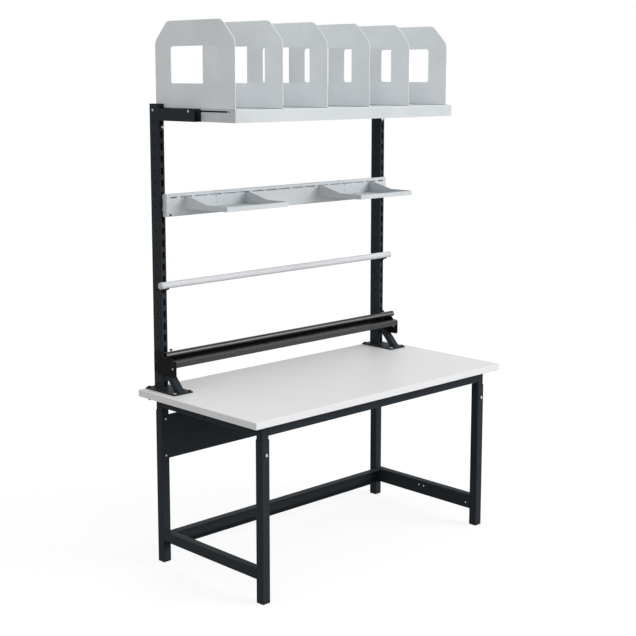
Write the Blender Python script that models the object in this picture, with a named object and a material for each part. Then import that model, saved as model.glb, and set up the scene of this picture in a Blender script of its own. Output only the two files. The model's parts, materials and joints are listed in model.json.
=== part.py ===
"""Packing workbench with a steel superstructure.

Frame: X runs along the length, the front looks to -Y, Z is up.
The origin lies on the floor under the middle of the tabletop.
All lengths are in metres.
"""
import bpy
import bmesh
from math import atan2, cos, hypot, pi, radians, sin, tan
from mathutils import Vector

# General clearances and counts
GAP = 0.0003
BOLT_PLAY = 0.0003
CUT_MARGIN = 0.002
SMOOTH_ANGLE_DEG = 35.0
CORNER_STEPS = 2
BEND_STEPS = 2
HOLE_STEPS = 8
ROUND_STEPS = 24
HEX_SIDES = 6

# Fasteners
M8_SHANK = 0.008
M8_HEAD = 0.013
M8_HEAD_HEIGHT = 0.0055
M6_SHANK = 0.006
M6_HEAD = 0.010
M6_HEAD_HEIGHT = 0.004
M6_NUT_HEIGHT = 0.005
M6_TAIL = 0.002
M5_SHANK = 0.005
THREAD_CHAMFER = 0.0006

# Tabletop
TOP_LENGTH = 1.500
TOP_DEPTH = 0.750
TOP_THICKNESS = 0.028
TOP_HEIGHT = 0.764
TOP_CORNER = 0.003
TOP_EDGE = 0.0012
TOP_UNDERSIDE = TOP_HEIGHT - TOP_THICKNESS

# Upper frame under the tabletop
FRAME_HEIGHT = 0.050
FRAME_SHEET = 0.002
FRAME_BEND = 0.004
FRAME_TOP_FLANGE = 0.030
FRAME_BOTTOM_FLANGE = 0.015
FRAME_TOP = TOP_UNDERSIDE - GAP
FRAME_BOTTOM = FRAME_TOP - FRAME_HEIGHT
TOP_SCREW_PITCH = 0.500
TOP_SCREW_DEPTH = 0.018

# Telescopic legs
LEG_SIZE = 0.040
LEG_WALL = 0.002
LEG_CORNER = 0.0035
LEG_END_INSET = 0.085
LEG_FRONT_INSET = 0.059
LEG_REAR_INSET = 0.052
LEG_STEP = 0.0137
LOCK_DROP = 0.060
LIFT_TRAVEL = 0.200
LOCK_MARGIN = 0.040
FOOT_HEIGHT = 0.010
FOOT_CHAMFER = 0.002
FOOT_PLUG = 0.020
LEG_X = TOP_LENGTH / 2 - LEG_END_INSET
FRONT_LEG_Y = LEG_FRONT_INSET - TOP_DEPTH / 2
REAR_LEG_Y = TOP_DEPTH / 2 - LEG_REAR_INSET
LEG_INNER_FACE = LEG_X - LEG_SIZE / 2
LEG_OUTER_FACE = LEG_X + LEG_SIZE / 2
FRONT_LEG_REAR = FRONT_LEG_Y + LEG_SIZE / 2
REAR_LEG_FRONT = REAR_LEG_Y - LEG_SIZE / 2
LEG_TOP = FRAME_BOTTOM - LEG_STEP
LOCK_Z = LEG_TOP - LOCK_DROP
INNER_LEG_SIZE = LEG_SIZE - 2 * LEG_WALL - 2 * GAP
INNER_LEG_CORNER = LEG_CORNER - LEG_WALL + GAP
INNER_LEG_BOTTOM = LOCK_Z - LIFT_TRAVEL - LOCK_MARGIN

# Lower frame
RAIL_TOP = 0.140
RAIL_HEIGHT = 0.064
RAIL_LIP = 0.037
RAIL_SHEET = 0.002
RAIL_BEND = 0.004
RAIL_HOLE = 0.0065
RAIL_HOLE_INSET = 0.022
RAIL_HOLE_DROP = 0.015
RAIL_HOLE_PITCH = 0.025
RAIL_MID_HOLE_REACH = 0.0147
RAIL_MID_HOLE_DROP = 0.020
RAIL_TOP_HOLE_INSET = 0.058
RAIL_TOP_HOLE_PITCH = 0.039
STRINGER_HEIGHT = 0.060
STRINGER_DEPTH = 0.040
STRINGER_SHEET = 0.002

# Rear panel
PANEL_DROP = 0.022
PANEL_HEIGHT = 0.190
PANEL_SHEET = 0.0015
PANEL_FLANGE = 0.015
PANEL_BEND = 0.003
PANEL_SCREW_INSET = 0.015
PANEL_TOP = LEG_TOP - PANEL_DROP
PANEL_BOTTOM = PANEL_TOP - PANEL_HEIGHT

# Base plates
PLATE_WIDTH = 0.100
PLATE_DEPTH = 0.200
PLATE_THICKNESS = 0.005
PLATE_CORNER = 0.004
PLATE_EDGE = 0.0006
PLATE_SHIFT = 0.002
PLATE_BOLT_INSET = 0.012
PLATE_BOTTOM = TOP_HEIGHT + GAP
PLATE_TOP = PLATE_BOTTOM + PLATE_THICKNESS
PLATE_Y = TOP_DEPTH / 2 - PLATE_DEPTH / 2

# Perforated uprights
UPRIGHT_WIDTH = 0.030
UPRIGHT_DEPTH = 0.060
UPRIGHT_WALL = 0.002
UPRIGHT_CORNER = 0.0035
UPRIGHT_INSET = 0.050
CAP_HEIGHT = 0.003
CAP_PLUG = 0.012
PERF_PITCH = 0.050
PERF_START = 0.0184
PERF_END = 0.026
PERF_COUNT = 24
SLOT_HEIGHT = 0.029
SLOT_WIDTH = 0.0105
SIDE_HOLE = 0.0086
UPRIGHT_X = LEG_X
UPRIGHT_Y = TOP_DEPTH / 2 - UPRIGHT_INSET
UPRIGHT_FRONT = UPRIGHT_Y - UPRIGHT_DEPTH / 2
UPRIGHT_IN = UPRIGHT_X - UPRIGHT_WIDTH / 2
UPRIGHT_OUT = UPRIGHT_X + UPRIGHT_WIDTH / 2
UPRIGHT_BOTTOM = PLATE_TOP + GAP
PERF_HEIGHTS = [UPRIGHT_BOTTOM + PERF_START + PERF_PITCH * k for k in range(PERF_COUNT)]
UPRIGHT_TOP = PERF_HEIGHTS[-1] + PERF_END

# Upright braces
BRACE_RUN = 0.1117
BRACE_RISE = 0.1174
BRACE_THICKNESS = 0.025
BRACE_SHEET = 0.0025

# Shelf arms and shelf
ARM_SHEET = 0.002
ARM_REACH = 0.237
ARM_TAIL = 0.020
ARM_HEIGHT = 0.050
ARM_BOLT_DROP = 0.008
ARM_BOLT_INSET = 0.0346
ARM_CORNER = 0.006
SHELF_DEPTH = 0.500
SHELF_TAIL = 0.025
SHELF_SHEET = 0.0015
SHELF_CORNER = 0.003
SHELF_HEM = 0.014
SHELF_SLOT_LENGTH = 0.210
SHELF_SLOT_INSET = 0.150
SHELF_END_HOLE_INSET = 0.034
SHELF_END_HOLE = 0.007
ARM_FRONT_Y = UPRIGHT_FRONT - ARM_REACH
ARM_REAR_Y = UPRIGHT_Y + ARM_TAIL
ARM_BOLT_Y = ARM_FRONT_Y + ARM_BOLT_INSET
ARM_BOLT_Z = PERF_HEIGHTS[-1]
ARM_BOTTOM = ARM_BOLT_Z + ARM_BOLT_DROP - ARM_HEIGHT
SHELF_TOP = ARM_BOTTOM + ARM_HEIGHT
SHELF_HALF = UPRIGHT_IN - ARM_SHEET - 2 * GAP
SHELF_REAR = UPRIGHT_Y + SHELF_TAIL
SHELF_FRONT = SHELF_REAR - SHELF_DEPTH
SHELF_Y = (SHELF_FRONT + SHELF_REAR) / 2

# Dividers
DIVIDER_COUNT = 6
DIVIDER_INSET = 0.0001
DIVIDER_SHEET = 0.0025
DIVIDER_END_ROOM = 0.04345
DIVIDER_RUN = 2 * SHELF_HALF - DIVIDER_INSET - DIVIDER_SHEET / 2 - DIVIDER_END_ROOM
DIVIDER_PITCH = DIVIDER_RUN / (DIVIDER_COUNT - 1)
DIVIDER_HEIGHT = 0.350
DIVIDER_CHAMFER = 0.080
DIVIDER_ROUND = 0.040
DIVIDER_FOOT = 0.018
DIVIDER_FOOT_BEND = 0.003
WINDOW_WIDTH = 0.292
WINDOW_HEIGHT = 0.148
WINDOW_RAISE = 0.101
WINDOW_CORNER = 0.010
WINDOW_SHIFT = 0.002
DIVIDER_BOTTOM = SHELF_TOP + GAP

# Tray rail
HANG_SLOT = 15
HANG_REACH = 0.025
HANG_BELOW = 0.0387
HANG_HEIGHT = 0.0942
HANG_SIDE_PLAY = 0.0038
HANG_SHEET = 0.0015
HANG_BEND = 0.003
HANG_TOP_FLANGE = 0.018
HANG_RETURN = 0.028
HANG_BOTTOM_FLANGE = 0.014
HANG_SLOT_PITCH = 0.080
HANG_SLOT_LENGTH = 0.065
HANG_SLOT_HEIGHT = 0.005
HANG_SLOT_DROP = 0.0155
HANG_END_SLOT_LENGTH = 0.037
HANG_END_SLOT_INSET = 0.0347
HANG_SCREW_INSET = 0.0162
HANG_SCREW_RAISE = 0.0077
HOOK_SHEET = 0.003
HOOK_DROP = 0.007
HOOK_NECK = 0.016
HOOK_TIP = 0.004
HANG_HALF = UPRIGHT_X - HANG_SIDE_PLAY
HANG_FRONT_Y = UPRIGHT_FRONT - HANG_REACH
HANG_BOTTOM = PERF_HEIGHTS[HANG_SLOT] - HANG_BELOW
HANG_TOP = HANG_BOTTOM + HANG_HEIGHT
HANG_SLOT_Z = HANG_TOP - HANG_SLOT_DROP

# Hanging trays
TRAY_WIDTH = 0.336
TRAY_LEFT_ROOM = 0.0952
TRAY_RIGHT_ROOM = 0.1122
TRAY_LEFT_X = TRAY_LEFT_ROOM + TRAY_WIDTH / 2 - HANG_HALF
TRAY_RIGHT_X = HANG_HALF - TRAY_WIDTH / 2 - TRAY_RIGHT_ROOM
TRAY_DEPTH = 0.2697
TRAY_HEIGHT = 0.050
TRAY_FLOOR_RISE = 0.005
TRAY_LIP = 0.020
TRAY_LEVEL = 0.130
TRAY_CREST = 0.035
TRAY_SHEET = 0.0015
TRAY_TONGUE_REACH = 0.080
TRAY_TONGUE_WIDTH = 0.030
TRAY_TONGUE_DROP = 0.006
TRAY_SLIT_WIDTH = 0.003
TRAY_SLIT_HEIGHT = 0.008
TRAY_SLIT_LOW = 0.015
TRAY_SLIT_HIGH = 0.043

# Roll spindle
SPINDLE_SLOT = 8
SPINDLE_RAISE = 0.026
SPINDLE_REACH = 0.019
SPINDLE_RADIUS = 0.0145
SPINDLE_WALL = 0.0020
SPINDLE_OVERHANG = 0.014
SPINDLE_CAP_LENGTH = 0.008
SPINDLE_CAP_PLUG = 0.015
SPINDLE_CAP_ROUND = 0.004
CRADLE_SHEET = 0.004
CRADLE_THICKNESS = 0.005
CRADLE_TIP_ANGLE_DEG = 48.0
CRADLE_STEPS = 8
SPINDLE_HALF = UPRIGHT_OUT + SPINDLE_OVERHANG
SPINDLE_Y = UPRIGHT_FRONT - SPINDLE_REACH
SPINDLE_Z = PERF_HEIGHTS[SPINDLE_SLOT] + SPINDLE_RAISE

# Paper cutter
CUTTER_PLATE = 0.003
CUTTER_REAR_TAIL = 0.024
CUTTER_FRONT_REACH = 0.125
CUTTER_RAISE = 0.0614
CUTTER_REAR_HEIGHT = 0.098
CUTTER_FRONT_HEIGHT = 0.069
CUTTER_CORNER = 0.008
SEAT_SLOPE_DEG = 42.0
SEAT_INNER = 0.011
TROUGH_SHEET = 0.0015
TROUGH_BEND = 0.003
TROUGH_RISE = 0.016
TROUGH_SPACE = 0.0025
BAR_RADIUS = 0.014
BAR_OVERHANG = 0.020
BAR_CHAMFER = 0.0015
BAR_REACH = 0.043
BAR_RAISE = 0.092
CUT_RAIL_REACH = 0.093
CUT_RAIL_DEPTH = 0.024
CUT_RAIL_HEIGHT = 0.0262
CUT_RAIL_DROP = 0.0235
CUT_RAIL_SHEET = 0.002
CUT_RAIL_BEND = 0.003
CUT_SCREW_INSET = 0.020
CUT_SCREW_DROP = 0.010
CUT_SCREW_PITCH = 0.0225
CUT_SCREW_COUNT = 2
CUT_MOUNT_COUNT = 2
CUTTER_REAR_Y = UPRIGHT_Y + CUTTER_REAR_TAIL
CUTTER_FRONT_Y = UPRIGHT_Y - CUTTER_FRONT_REACH
CUTTER_BOTTOM = UPRIGHT_BOTTOM + CUTTER_RAISE
BAR_Y = UPRIGHT_FRONT - BAR_REACH
BAR_Z = CUTTER_BOTTOM + BAR_RAISE
BAR_HALF = UPRIGHT_OUT + BAR_OVERHANG
CUT_RAIL_HALF = UPRIGHT_OUT
CUT_RAIL_FRONT_Y = UPRIGHT_FRONT - CUT_RAIL_REACH
CUT_RAIL_TOP = BAR_Z - CUT_RAIL_DROP
CUT_RAIL_BOTTOM = CUT_RAIL_TOP - CUT_RAIL_HEIGHT
CUT_SCREW_Y = CUT_RAIL_FRONT_Y + CUT_SCREW_INSET
CUT_SCREW_TOP = CUT_RAIL_TOP - CUT_SCREW_DROP
TROUGH_BOTTOM = UPRIGHT_BOTTOM + BRACE_RISE + BRACE_SHEET


def clear_scene():
    """Empty the file of the objects it opened with."""
    for item in list(bpy.data.objects):
        bpy.data.objects.remove(item, do_unlink=True)


def make_material(name, colour, roughness, metallic):
    """One plain surface with its own colour, roughness and metallic value."""
    material = bpy.data.materials.new(name)
    material.use_nodes = True
    shader = material.node_tree.nodes["Principled BSDF"]
    shader.inputs["Base Color"].default_value = (colour[0], colour[1], colour[2], 1.0)
    shader.inputs["Roughness"].default_value = roughness
    shader.inputs["Metallic"].default_value = metallic
    return material


def finish_object(name, bm, material, location):
    """Turn a bmesh in object coordinates into a named object at its place."""
    bmesh.ops.recalc_face_normals(bm, faces=bm.faces[:])
    mesh = bpy.data.meshes.new(name)
    bm.to_mesh(mesh)
    bm.free()
    for polygon in mesh.polygons:
        polygon.use_smooth = True
    mesh.set_sharp_from_angle(angle=radians(SMOOTH_ANGLE_DEG))
    item = bpy.data.objects.new(name, mesh)
    bpy.context.scene.collection.objects.link(item)
    item.location = location
    mesh.materials.append(material)
    return item


def rounded_rect(width, height, radius, steps):
    """Corner-rounded rectangle round the origin, anticlockwise."""
    if radius <= 0:
        half_w = width / 2
        half_h = height / 2
        return [(half_w, -half_h), (half_w, half_h), (-half_w, half_h), (-half_w, -half_h)]
    points = []
    centres = ((1, -1, -90.0), (1, 1, 0.0), (-1, 1, 90.0), (-1, -1, 180.0))
    for side_x, side_y, start in centres:
        centre_x = side_x * (width / 2 - radius)
        centre_y = side_y * (height / 2 - radius)
        for step in range(steps + 1):
            angle = radians(start + 90.0 * step / steps)
            points.append((centre_x + radius * cos(angle), centre_y + radius * sin(angle)))
    return points


def circle(radius, steps):
    """Points of a circle round the origin, anticlockwise."""
    return [(radius * cos(2 * pi * k / steps), radius * sin(2 * pi * k / steps)) for k in range(steps)]


def loft(bm, loops, closed_ring=False):
    """Skin a row of equal point loops; the ends are capped unless the row closes on itself."""
    rings = [[bm.verts.new(point) for point in loop] for loop in loops]
    pairs = list(zip(rings[:-1], rings[1:]))
    if closed_ring:
        pairs.append((rings[-1], rings[0]))
    for low, high in pairs:
        for k in range(len(low)):
            bm.faces.new((low[k - 1], low[k], high[k], high[k - 1]))
    if not closed_ring:
        bm.faces.new(rings[0])
        bm.faces.new(rings[-1])


def prism(bm, outline, axis, start, end):
    """Extrude a flat outline along one axis: x takes (y, z), y takes (x, z), z takes (x, y)."""
    place = {
        "x": lambda u, v: (start, u, v),
        "y": lambda u, v: (u, start, v),
        "z": lambda u, v: (u, v, start),
    }[axis]
    shift = {
        "x": (end - start, 0.0, 0.0),
        "y": (0.0, end - start, 0.0),
        "z": (0.0, 0.0, end - start),
    }[axis]
    face = bm.faces.new([bm.verts.new(place(u, v)) for u, v in outline])
    extruded = bmesh.ops.extrude_face_region(bm, geom=[face])["geom"]
    moved = [item for item in extruded if isinstance(item, bmesh.types.BMVert)]
    bmesh.ops.translate(bm, vec=shift, verts=moved)


def box(bm, x0, x1, y0, y1, z0, z1):
    """Plain block between two opposite corners."""
    prism(bm, [(x0, y0), (x1, y0), (x1, y1), (x0, y1)], "z", z0, z1)


def rounded_path(points, radii, steps, closed):
    """Replace the corners of a polyline by tangent arcs."""
    count = len(points)
    result = []
    for k in range(count):
        if not closed and k in (0, count - 1):
            result.append(points[k])
            continue
        here = Vector(points[k])
        back = Vector(points[k - 1]) - here
        ahead = Vector(points[(k + 1) % count]) - here
        radius = radii[k]
        if radius <= 0:
            result.append(points[k])
            continue
        back.normalize()
        ahead.normalize()
        half = back.angle(ahead) / 2
        reach = radius / tan(half)
        centre = here + (back + ahead).normalized() * (radius / sin(half))
        start = here + back * reach - centre
        finish = here + ahead * reach - centre
        angle_start = atan2(start.y, start.x)
        turn = atan2(finish.y, finish.x) - angle_start
        if turn > pi:
            turn -= 2 * pi
        if turn < -pi:
            turn += 2 * pi
        for step in range(steps + 1):
            angle = angle_start + turn * step / steps
            result.append((centre.x + radius * cos(angle), centre.y + radius * sin(angle)))
    return result


def offset_path(points, distance):
    """Open polyline moved sideways to its left by a distance."""
    count = len(points)
    moved = []
    for k in range(count):
        here = Vector(points[k])
        normals = []
        if k > 0:
            step = (here - Vector(points[k - 1])).normalized()
            normals.append(Vector((-step.y, step.x)))
        if k < count - 1:
            step = (Vector(points[k + 1]) - here).normalized()
            normals.append(Vector((-step.y, step.x)))
        if len(normals) == 1:
            shift = normals[0]
        else:
            total = (normals[0] + normals[1]).normalized()
            shift = total / total.dot(normals[0])
        moved.append((here.x + shift.x * distance, here.y + shift.y * distance))
    return moved


def folded_sheet(path, thickness, bend):
    """Closed outline of a bent sheet whose outer face follows the path; the sheet lies left of it."""
    inner = offset_path(path, thickness)
    outer_radii = []
    inner_radii = []
    for k in range(len(path)):
        if k in (0, len(path) - 1):
            outer_radii.append(0)
            inner_radii.append(0)
            continue
        here = Vector(path[k])
        before = here - Vector(path[k - 1])
        after = Vector(path[k + 1]) - here
        left_turn = before.x * after.y - before.y * after.x > 0
        outer_radii.append(bend if left_turn else bend - thickness)
        inner_radii.append(bend - thickness if left_turn else bend)
    first = rounded_path(path, outer_radii, BEND_STEPS, False)
    second = rounded_path(inner, inner_radii, BEND_STEPS, False)
    return first + list(reversed(second))


def square_tube(bm, width, depth, wall, corner, bottom, top):
    """Upright rectangular tube, open at both ends."""
    outer = rounded_rect(width, depth, corner, CORNER_STEPS)
    inner = rounded_rect(width - 2 * wall, depth - 2 * wall, corner - wall, CORNER_STEPS)
    rings = [
        [(x, y, bottom) for x, y in outer],
        [(x, y, top) for x, y in outer],
        [(x, y, top) for x, y in inner],
        [(x, y, bottom) for x, y in inner],
    ]
    loft(bm, rings, closed_ring=True)


def place_along(axis, centre, u, v, along):
    """Point (u, v) of a cross-section, moved along an axis through a centre."""
    if axis == "x":
        return (centre[0] + along, centre[1] + u, centre[2] + v)
    if axis == "y":
        return (centre[0] + v, centre[1] + along, centre[2] + u)
    return (centre[0] + u, centre[1] + v, centre[2] + along)


def turned(bm, profile, steps, axis, centre):
    """Solid of revolution along x, y or z from (distance along, radius) pairs."""
    loops = []
    for along, radius in profile:
        loops.append([place_along(axis, centre, u, v, along) for u, v in circle(radius, steps)])
    loft(bm, loops)


def hexagon(across):
    """Hexagon with a given width across its flats, with a point halfway along each side."""
    corner = across / (2 * cos(pi / HEX_SIDES))
    points = []
    for k in range(2 * HEX_SIDES):
        radius = corner if k % 2 == 0 else across / 2
        angle = pi * k / HEX_SIDES
        points.append((radius * cos(angle), radius * sin(angle)))
    return points


def hex_bolt(bm, axis, sense, size, grip, nut_height=0.0, tail=0.0):
    """Hexagon bolt, with its nut if it has one: the head stands on the sense side of the origin."""
    shank_size, head_size, head_height = size
    shank = circle(shank_size / 2, 2 * HEX_SIDES)
    tip = circle(shank_size / 2 - THREAD_CHAMFER, 2 * HEX_SIDES)
    crown = circle(head_size / 2 - THREAD_CHAMFER, 2 * HEX_SIDES)
    flats = hexagon(head_size)
    rows = [
        (crown, head_height),
        (flats, head_height - THREAD_CHAMFER),
        (flats, 0.0),
        (shank, 0.0),
    ]
    if nut_height > 0:
        rows += [(shank, -grip), (flats, -grip), (flats, -grip - nut_height), (shank, -grip - nut_height)]
    rows += [(shank, -grip - nut_height - tail + THREAD_CHAMFER), (tip, -grip - nut_height - tail)]
    loops = []
    for outline, along in rows:
        loops.append([place_along(axis, (0.0, 0.0, 0.0), u, v, sense * along) for u, v in outline])
    loft(bm, loops)


def cut(item, build, operation="DIFFERENCE"):
    """Take a body away from an object, or join it; the body is built in world coordinates."""
    bm = bmesh.new()
    build(bm)
    bmesh.ops.recalc_face_normals(bm, faces=bm.faces[:])
    mesh = bpy.data.meshes.new("cut_body")
    bm.to_mesh(mesh)
    bm.free()
    body = bpy.data.objects.new("cut_body", mesh)
    bpy.context.scene.collection.objects.link(body)
    modifier = item.modifiers.new("cut", "BOOLEAN")
    modifier.operation = operation
    modifier.solver = "EXACT"
    modifier.object = body
    settle(item)
    bpy.data.objects.remove(body, do_unlink=True)


def settle(item):
    """Write the modifiers of an object into its mesh."""
    bpy.context.view_layer.update()
    graph = bpy.context.evaluated_depsgraph_get()
    shape = bpy.data.meshes.new_from_object(item.evaluated_get(graph))
    shape.name = item.name
    item.modifiers.clear()
    item.data = shape
    for polygon in shape.polygons:
        polygon.use_smooth = True
    shape.set_sharp_from_angle(angle=radians(SMOOTH_ANGLE_DEG))


def sides():
    """The left and the right side of the bench."""
    return (("left", -1), ("right", 1))


def cylinder_cut(axis, centre, radius, start, end, steps=HOLE_STEPS):
    """Round cutting body along an axis."""
    def build(bm):
        turned(bm, [(start, radius), (end, radius)], steps, axis, centre)
    return build


def several(builders):
    """Several cutting bodies at once."""
    def build(bm):
        for builder in builders:
            builder(bm)
    return build


def open_box(bm, width, height, depth, wall, corner, hem):
    """Folded box, closed at depth and open at zero, with a hem round its open rim.

    The section lies in (u, v) and the depth runs along w.
    """
    def ring(inset, along):
        radius = max(corner - inset, wall / 2)
        outline = rounded_rect(width - 2 * inset, height - 2 * inset, radius, CORNER_STEPS)
        return [(u, v, along) for u, v in outline]

    loops = [
        ring(corner, depth),
        ring(corner - corner * cos(pi / 4), depth - corner + corner * sin(pi / 4)),
        ring(0.0, depth - corner),
        ring(0.0, 0.0),
    ]
    if hem > wall:
        loops += [ring(hem, 0.0), ring(hem, wall), ring(wall, wall)]
    else:
        loops.append(ring(wall, 0.0))
    loops.append(ring(wall, depth - wall))
    loft(bm, loops)


def turn_box(bm, along_axis, sense):
    """Lay the open box along y or z, its open side looking against the sense."""
    for vert in bm.verts:
        u, v, w = vert.co
        if along_axis == "z":
            vert.co = (u, v, sense * w)
        else:
            vert.co = (u, sense * w, v)


def panel_screw_heights():
    """Heights of the screws at both ends of the rear panel."""
    return (PANEL_BOTTOM + PANEL_SCREW_INSET, PANEL_TOP - PANEL_SCREW_INSET)


def rail_hole_heights():
    """Heights of the two bolt holes at an end of a side rail."""
    high = RAIL_TOP - RAIL_HOLE_DROP
    return (high - RAIL_HOLE_PITCH, high)


def build_legs(dark, plastic):
    """Outer leg tubes with their end caps."""
    for side_name, side in sides():
        for row_name, row_y, face in (("front", FRONT_LEG_Y, -1), ("rear", REAR_LEG_Y, 1)):
            x = side * LEG_X
            bm = bmesh.new()
            square_tube(bm, LEG_SIZE, LEG_SIZE, LEG_WALL, LEG_CORNER, 0.0, LEG_TOP - FOOT_HEIGHT - GAP)
            leg = finish_object("leg_" + row_name + "_" + side_name, bm, dark,
                                (x, row_y, FOOT_HEIGHT + GAP))
            hole = M8_SHANK / 2 + BOLT_PLAY
            outer_y = row_y + face * LEG_SIZE / 2
            cutters = [cylinder_cut("y", (x, outer_y, LOCK_Z), hole, -face * 2 * LEG_WALL,
                                    face * CUT_MARGIN)]
            if row_name == "rear":
                for height in panel_screw_heights():
                    cutters.append(cylinder_cut("y", (x, REAR_LEG_FRONT, height),
                                                M5_SHANK / 2 + BOLT_PLAY, -CUT_MARGIN,
                                                2 * LEG_WALL))
            cut(leg, several(cutters))

            bm = bmesh.new()
            plug = LEG_SIZE - 2 * LEG_WALL - 2 * GAP
            plug_corner = LEG_CORNER - LEG_WALL + GAP
            loops = []
            for size, corner, height in (
                (LEG_SIZE - 2 * FOOT_CHAMFER, LEG_CORNER - FOOT_CHAMFER, 0.0),
                (LEG_SIZE, LEG_CORNER, FOOT_CHAMFER),
                (LEG_SIZE, LEG_CORNER, FOOT_HEIGHT),
                (plug, plug_corner, FOOT_HEIGHT),
                (plug, plug_corner, FOOT_HEIGHT + FOOT_PLUG),
            ):
                outline = rounded_rect(size, size, corner, CORNER_STEPS)
                loops.append([(u, v, height) for u, v in outline])
            loft(bm, loops)
            finish_object("foot_" + row_name + "_" + side_name, bm, plastic, (x, row_y, 0.0))


def build_inner_legs(dark):
    """Inner leg tubes that slide in the outer ones."""
    for side_name, side in sides():
        for row_name, row_y in (("front", FRONT_LEG_Y), ("rear", REAR_LEG_Y)):
            bm = bmesh.new()
            square_tube(bm, INNER_LEG_SIZE, INNER_LEG_SIZE, LEG_WALL, INNER_LEG_CORNER + LEG_WALL / 2,
                        0.0, FRAME_TOP - INNER_LEG_BOTTOM)
            finish_object("inner_leg_" + row_name + "_" + side_name, bm, dark,
                          (side * LEG_X, row_y, INNER_LEG_BOTTOM))


def build_lower_frame(dark):
    """Side rails between the legs and the long stringer between the rails."""
    start = FRONT_LEG_REAR + GAP
    end = REAR_LEG_FRONT - GAP
    for side_name, side in sides():
        inner = 0.0
        outer = side * LEG_SIZE
        path = [
            (inner, -RAIL_HEIGHT),
            (inner, 0.0),
            (outer, 0.0),
            (outer, -RAIL_LIP),
        ]
        outline = folded_sheet(path, -side * RAIL_SHEET, RAIL_BEND) if side < 0 else folded_sheet(
            list(reversed(path)), RAIL_SHEET, RAIL_BEND)
        bm = bmesh.new()
        prism(bm, outline, "y", start, end)
        rail = finish_object("side_rail_" + side_name, bm, dark,
                             (side * LEG_INNER_FACE, 0.0, RAIL_TOP))
        face = side * LEG_INNER_FACE
        reach = side * (RAIL_SHEET + CUT_MARGIN)
        spots = []
        for y in (FRONT_LEG_REAR + RAIL_HOLE_INSET, REAR_LEG_FRONT - RAIL_HOLE_INSET):
            for z in rail_hole_heights():
                spots.append((y, z))
        for y in (-RAIL_MID_HOLE_REACH, RAIL_MID_HOLE_REACH):
            spots.append((y, RAIL_TOP - RAIL_MID_HOLE_DROP))
        cutters = [cylinder_cut("x", (face, y, z), RAIL_HOLE / 2, -side * CUT_MARGIN, reach)
                   for y, z in spots]
        far = REAR_LEG_FRONT - RAIL_TOP_HOLE_INSET
        for y in (far - RAIL_TOP_HOLE_PITCH, far):
            cutters.append(cylinder_cut("z", (side * LEG_X, y, RAIL_TOP), RAIL_HOLE / 2,
                                        -RAIL_SHEET - CUT_MARGIN, CUT_MARGIN))
        cut(rail, several(cutters))

    depth = STRINGER_DEPTH - GAP
    bm = bmesh.new()
    open_box(bm, 2 * (LEG_INNER_FACE - GAP), STRINGER_HEIGHT, depth,
             STRINGER_SHEET, RAIL_BEND, STRINGER_SHEET)
    turn_box(bm, "y", 1)
    stringer = finish_object("stringer", bm, dark,
                             (0.0, REAR_LEG_FRONT - STRINGER_DEPTH, RAIL_TOP - STRINGER_HEIGHT / 2))
    cutters = []
    for side_name, side in sides():
        for z in rail_hole_heights():
            centre = (side * LEG_INNER_FACE, REAR_LEG_FRONT - RAIL_HOLE_INSET, z)
            cutters.append(cylinder_cut("x", centre, RAIL_HOLE / 2,
                                        -side * (STRINGER_SHEET + GAP + CUT_MARGIN), side * CUT_MARGIN))
    cut(stringer, several(cutters))


def build_rear_panel(dark):
    """Flanged sheet on the front faces of the rear legs."""
    rear = REAR_LEG_FRONT - GAP
    front = rear - PANEL_SHEET
    path = [
        (PANEL_FLANGE, PANEL_HEIGHT),
        (0.0, PANEL_HEIGHT),
        (0.0, 0.0),
        (PANEL_FLANGE, 0.0),
    ]
    bm = bmesh.new()
    prism(bm, folded_sheet(path, PANEL_SHEET, PANEL_BEND), "x", -LEG_OUTER_FACE, LEG_OUTER_FACE)
    panel = finish_object("rear_panel", bm, dark, (0.0, front, PANEL_BOTTOM))

    def notches(body):
        for side_name, side in sides():
            edges = sorted((side * (LEG_INNER_FACE - GAP), side * (LEG_OUTER_FACE + CUT_MARGIN)))
            box(body, edges[0], edges[1], rear, front + PANEL_FLANGE + CUT_MARGIN,
                PANEL_BOTTOM - CUT_MARGIN, PANEL_TOP + CUT_MARGIN)

    cutters = [notches]
    for side_name, side in sides():
        for z in panel_screw_heights():
            cutters.append(cylinder_cut("y", (side * LEG_X, front, z), M5_SHANK / 2 + BOLT_PLAY,
                                        -CUT_MARGIN, PANEL_SHEET + CUT_MARGIN))
    cut(panel, several(cutters))


def build_lock_screws(zinc):
    """Screws that clamp the inner legs at the chosen working height."""
    for side_name, side in sides():
        for row_name, row_y, face in (("front", FRONT_LEG_Y, -1), ("rear", REAR_LEG_Y, 1)):
            bm = bmesh.new()
            hex_bolt(bm, "y", face, (M8_SHANK, M8_HEAD, M8_HEAD_HEIGHT), LEG_WALL + GAP)
            seat = row_y + face * (LEG_SIZE / 2 + GAP)
            finish_object("leg_lock_screw_" + row_name + "_" + side_name, bm, zinc,
                          (side * LEG_X, seat, LOCK_Z))


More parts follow.
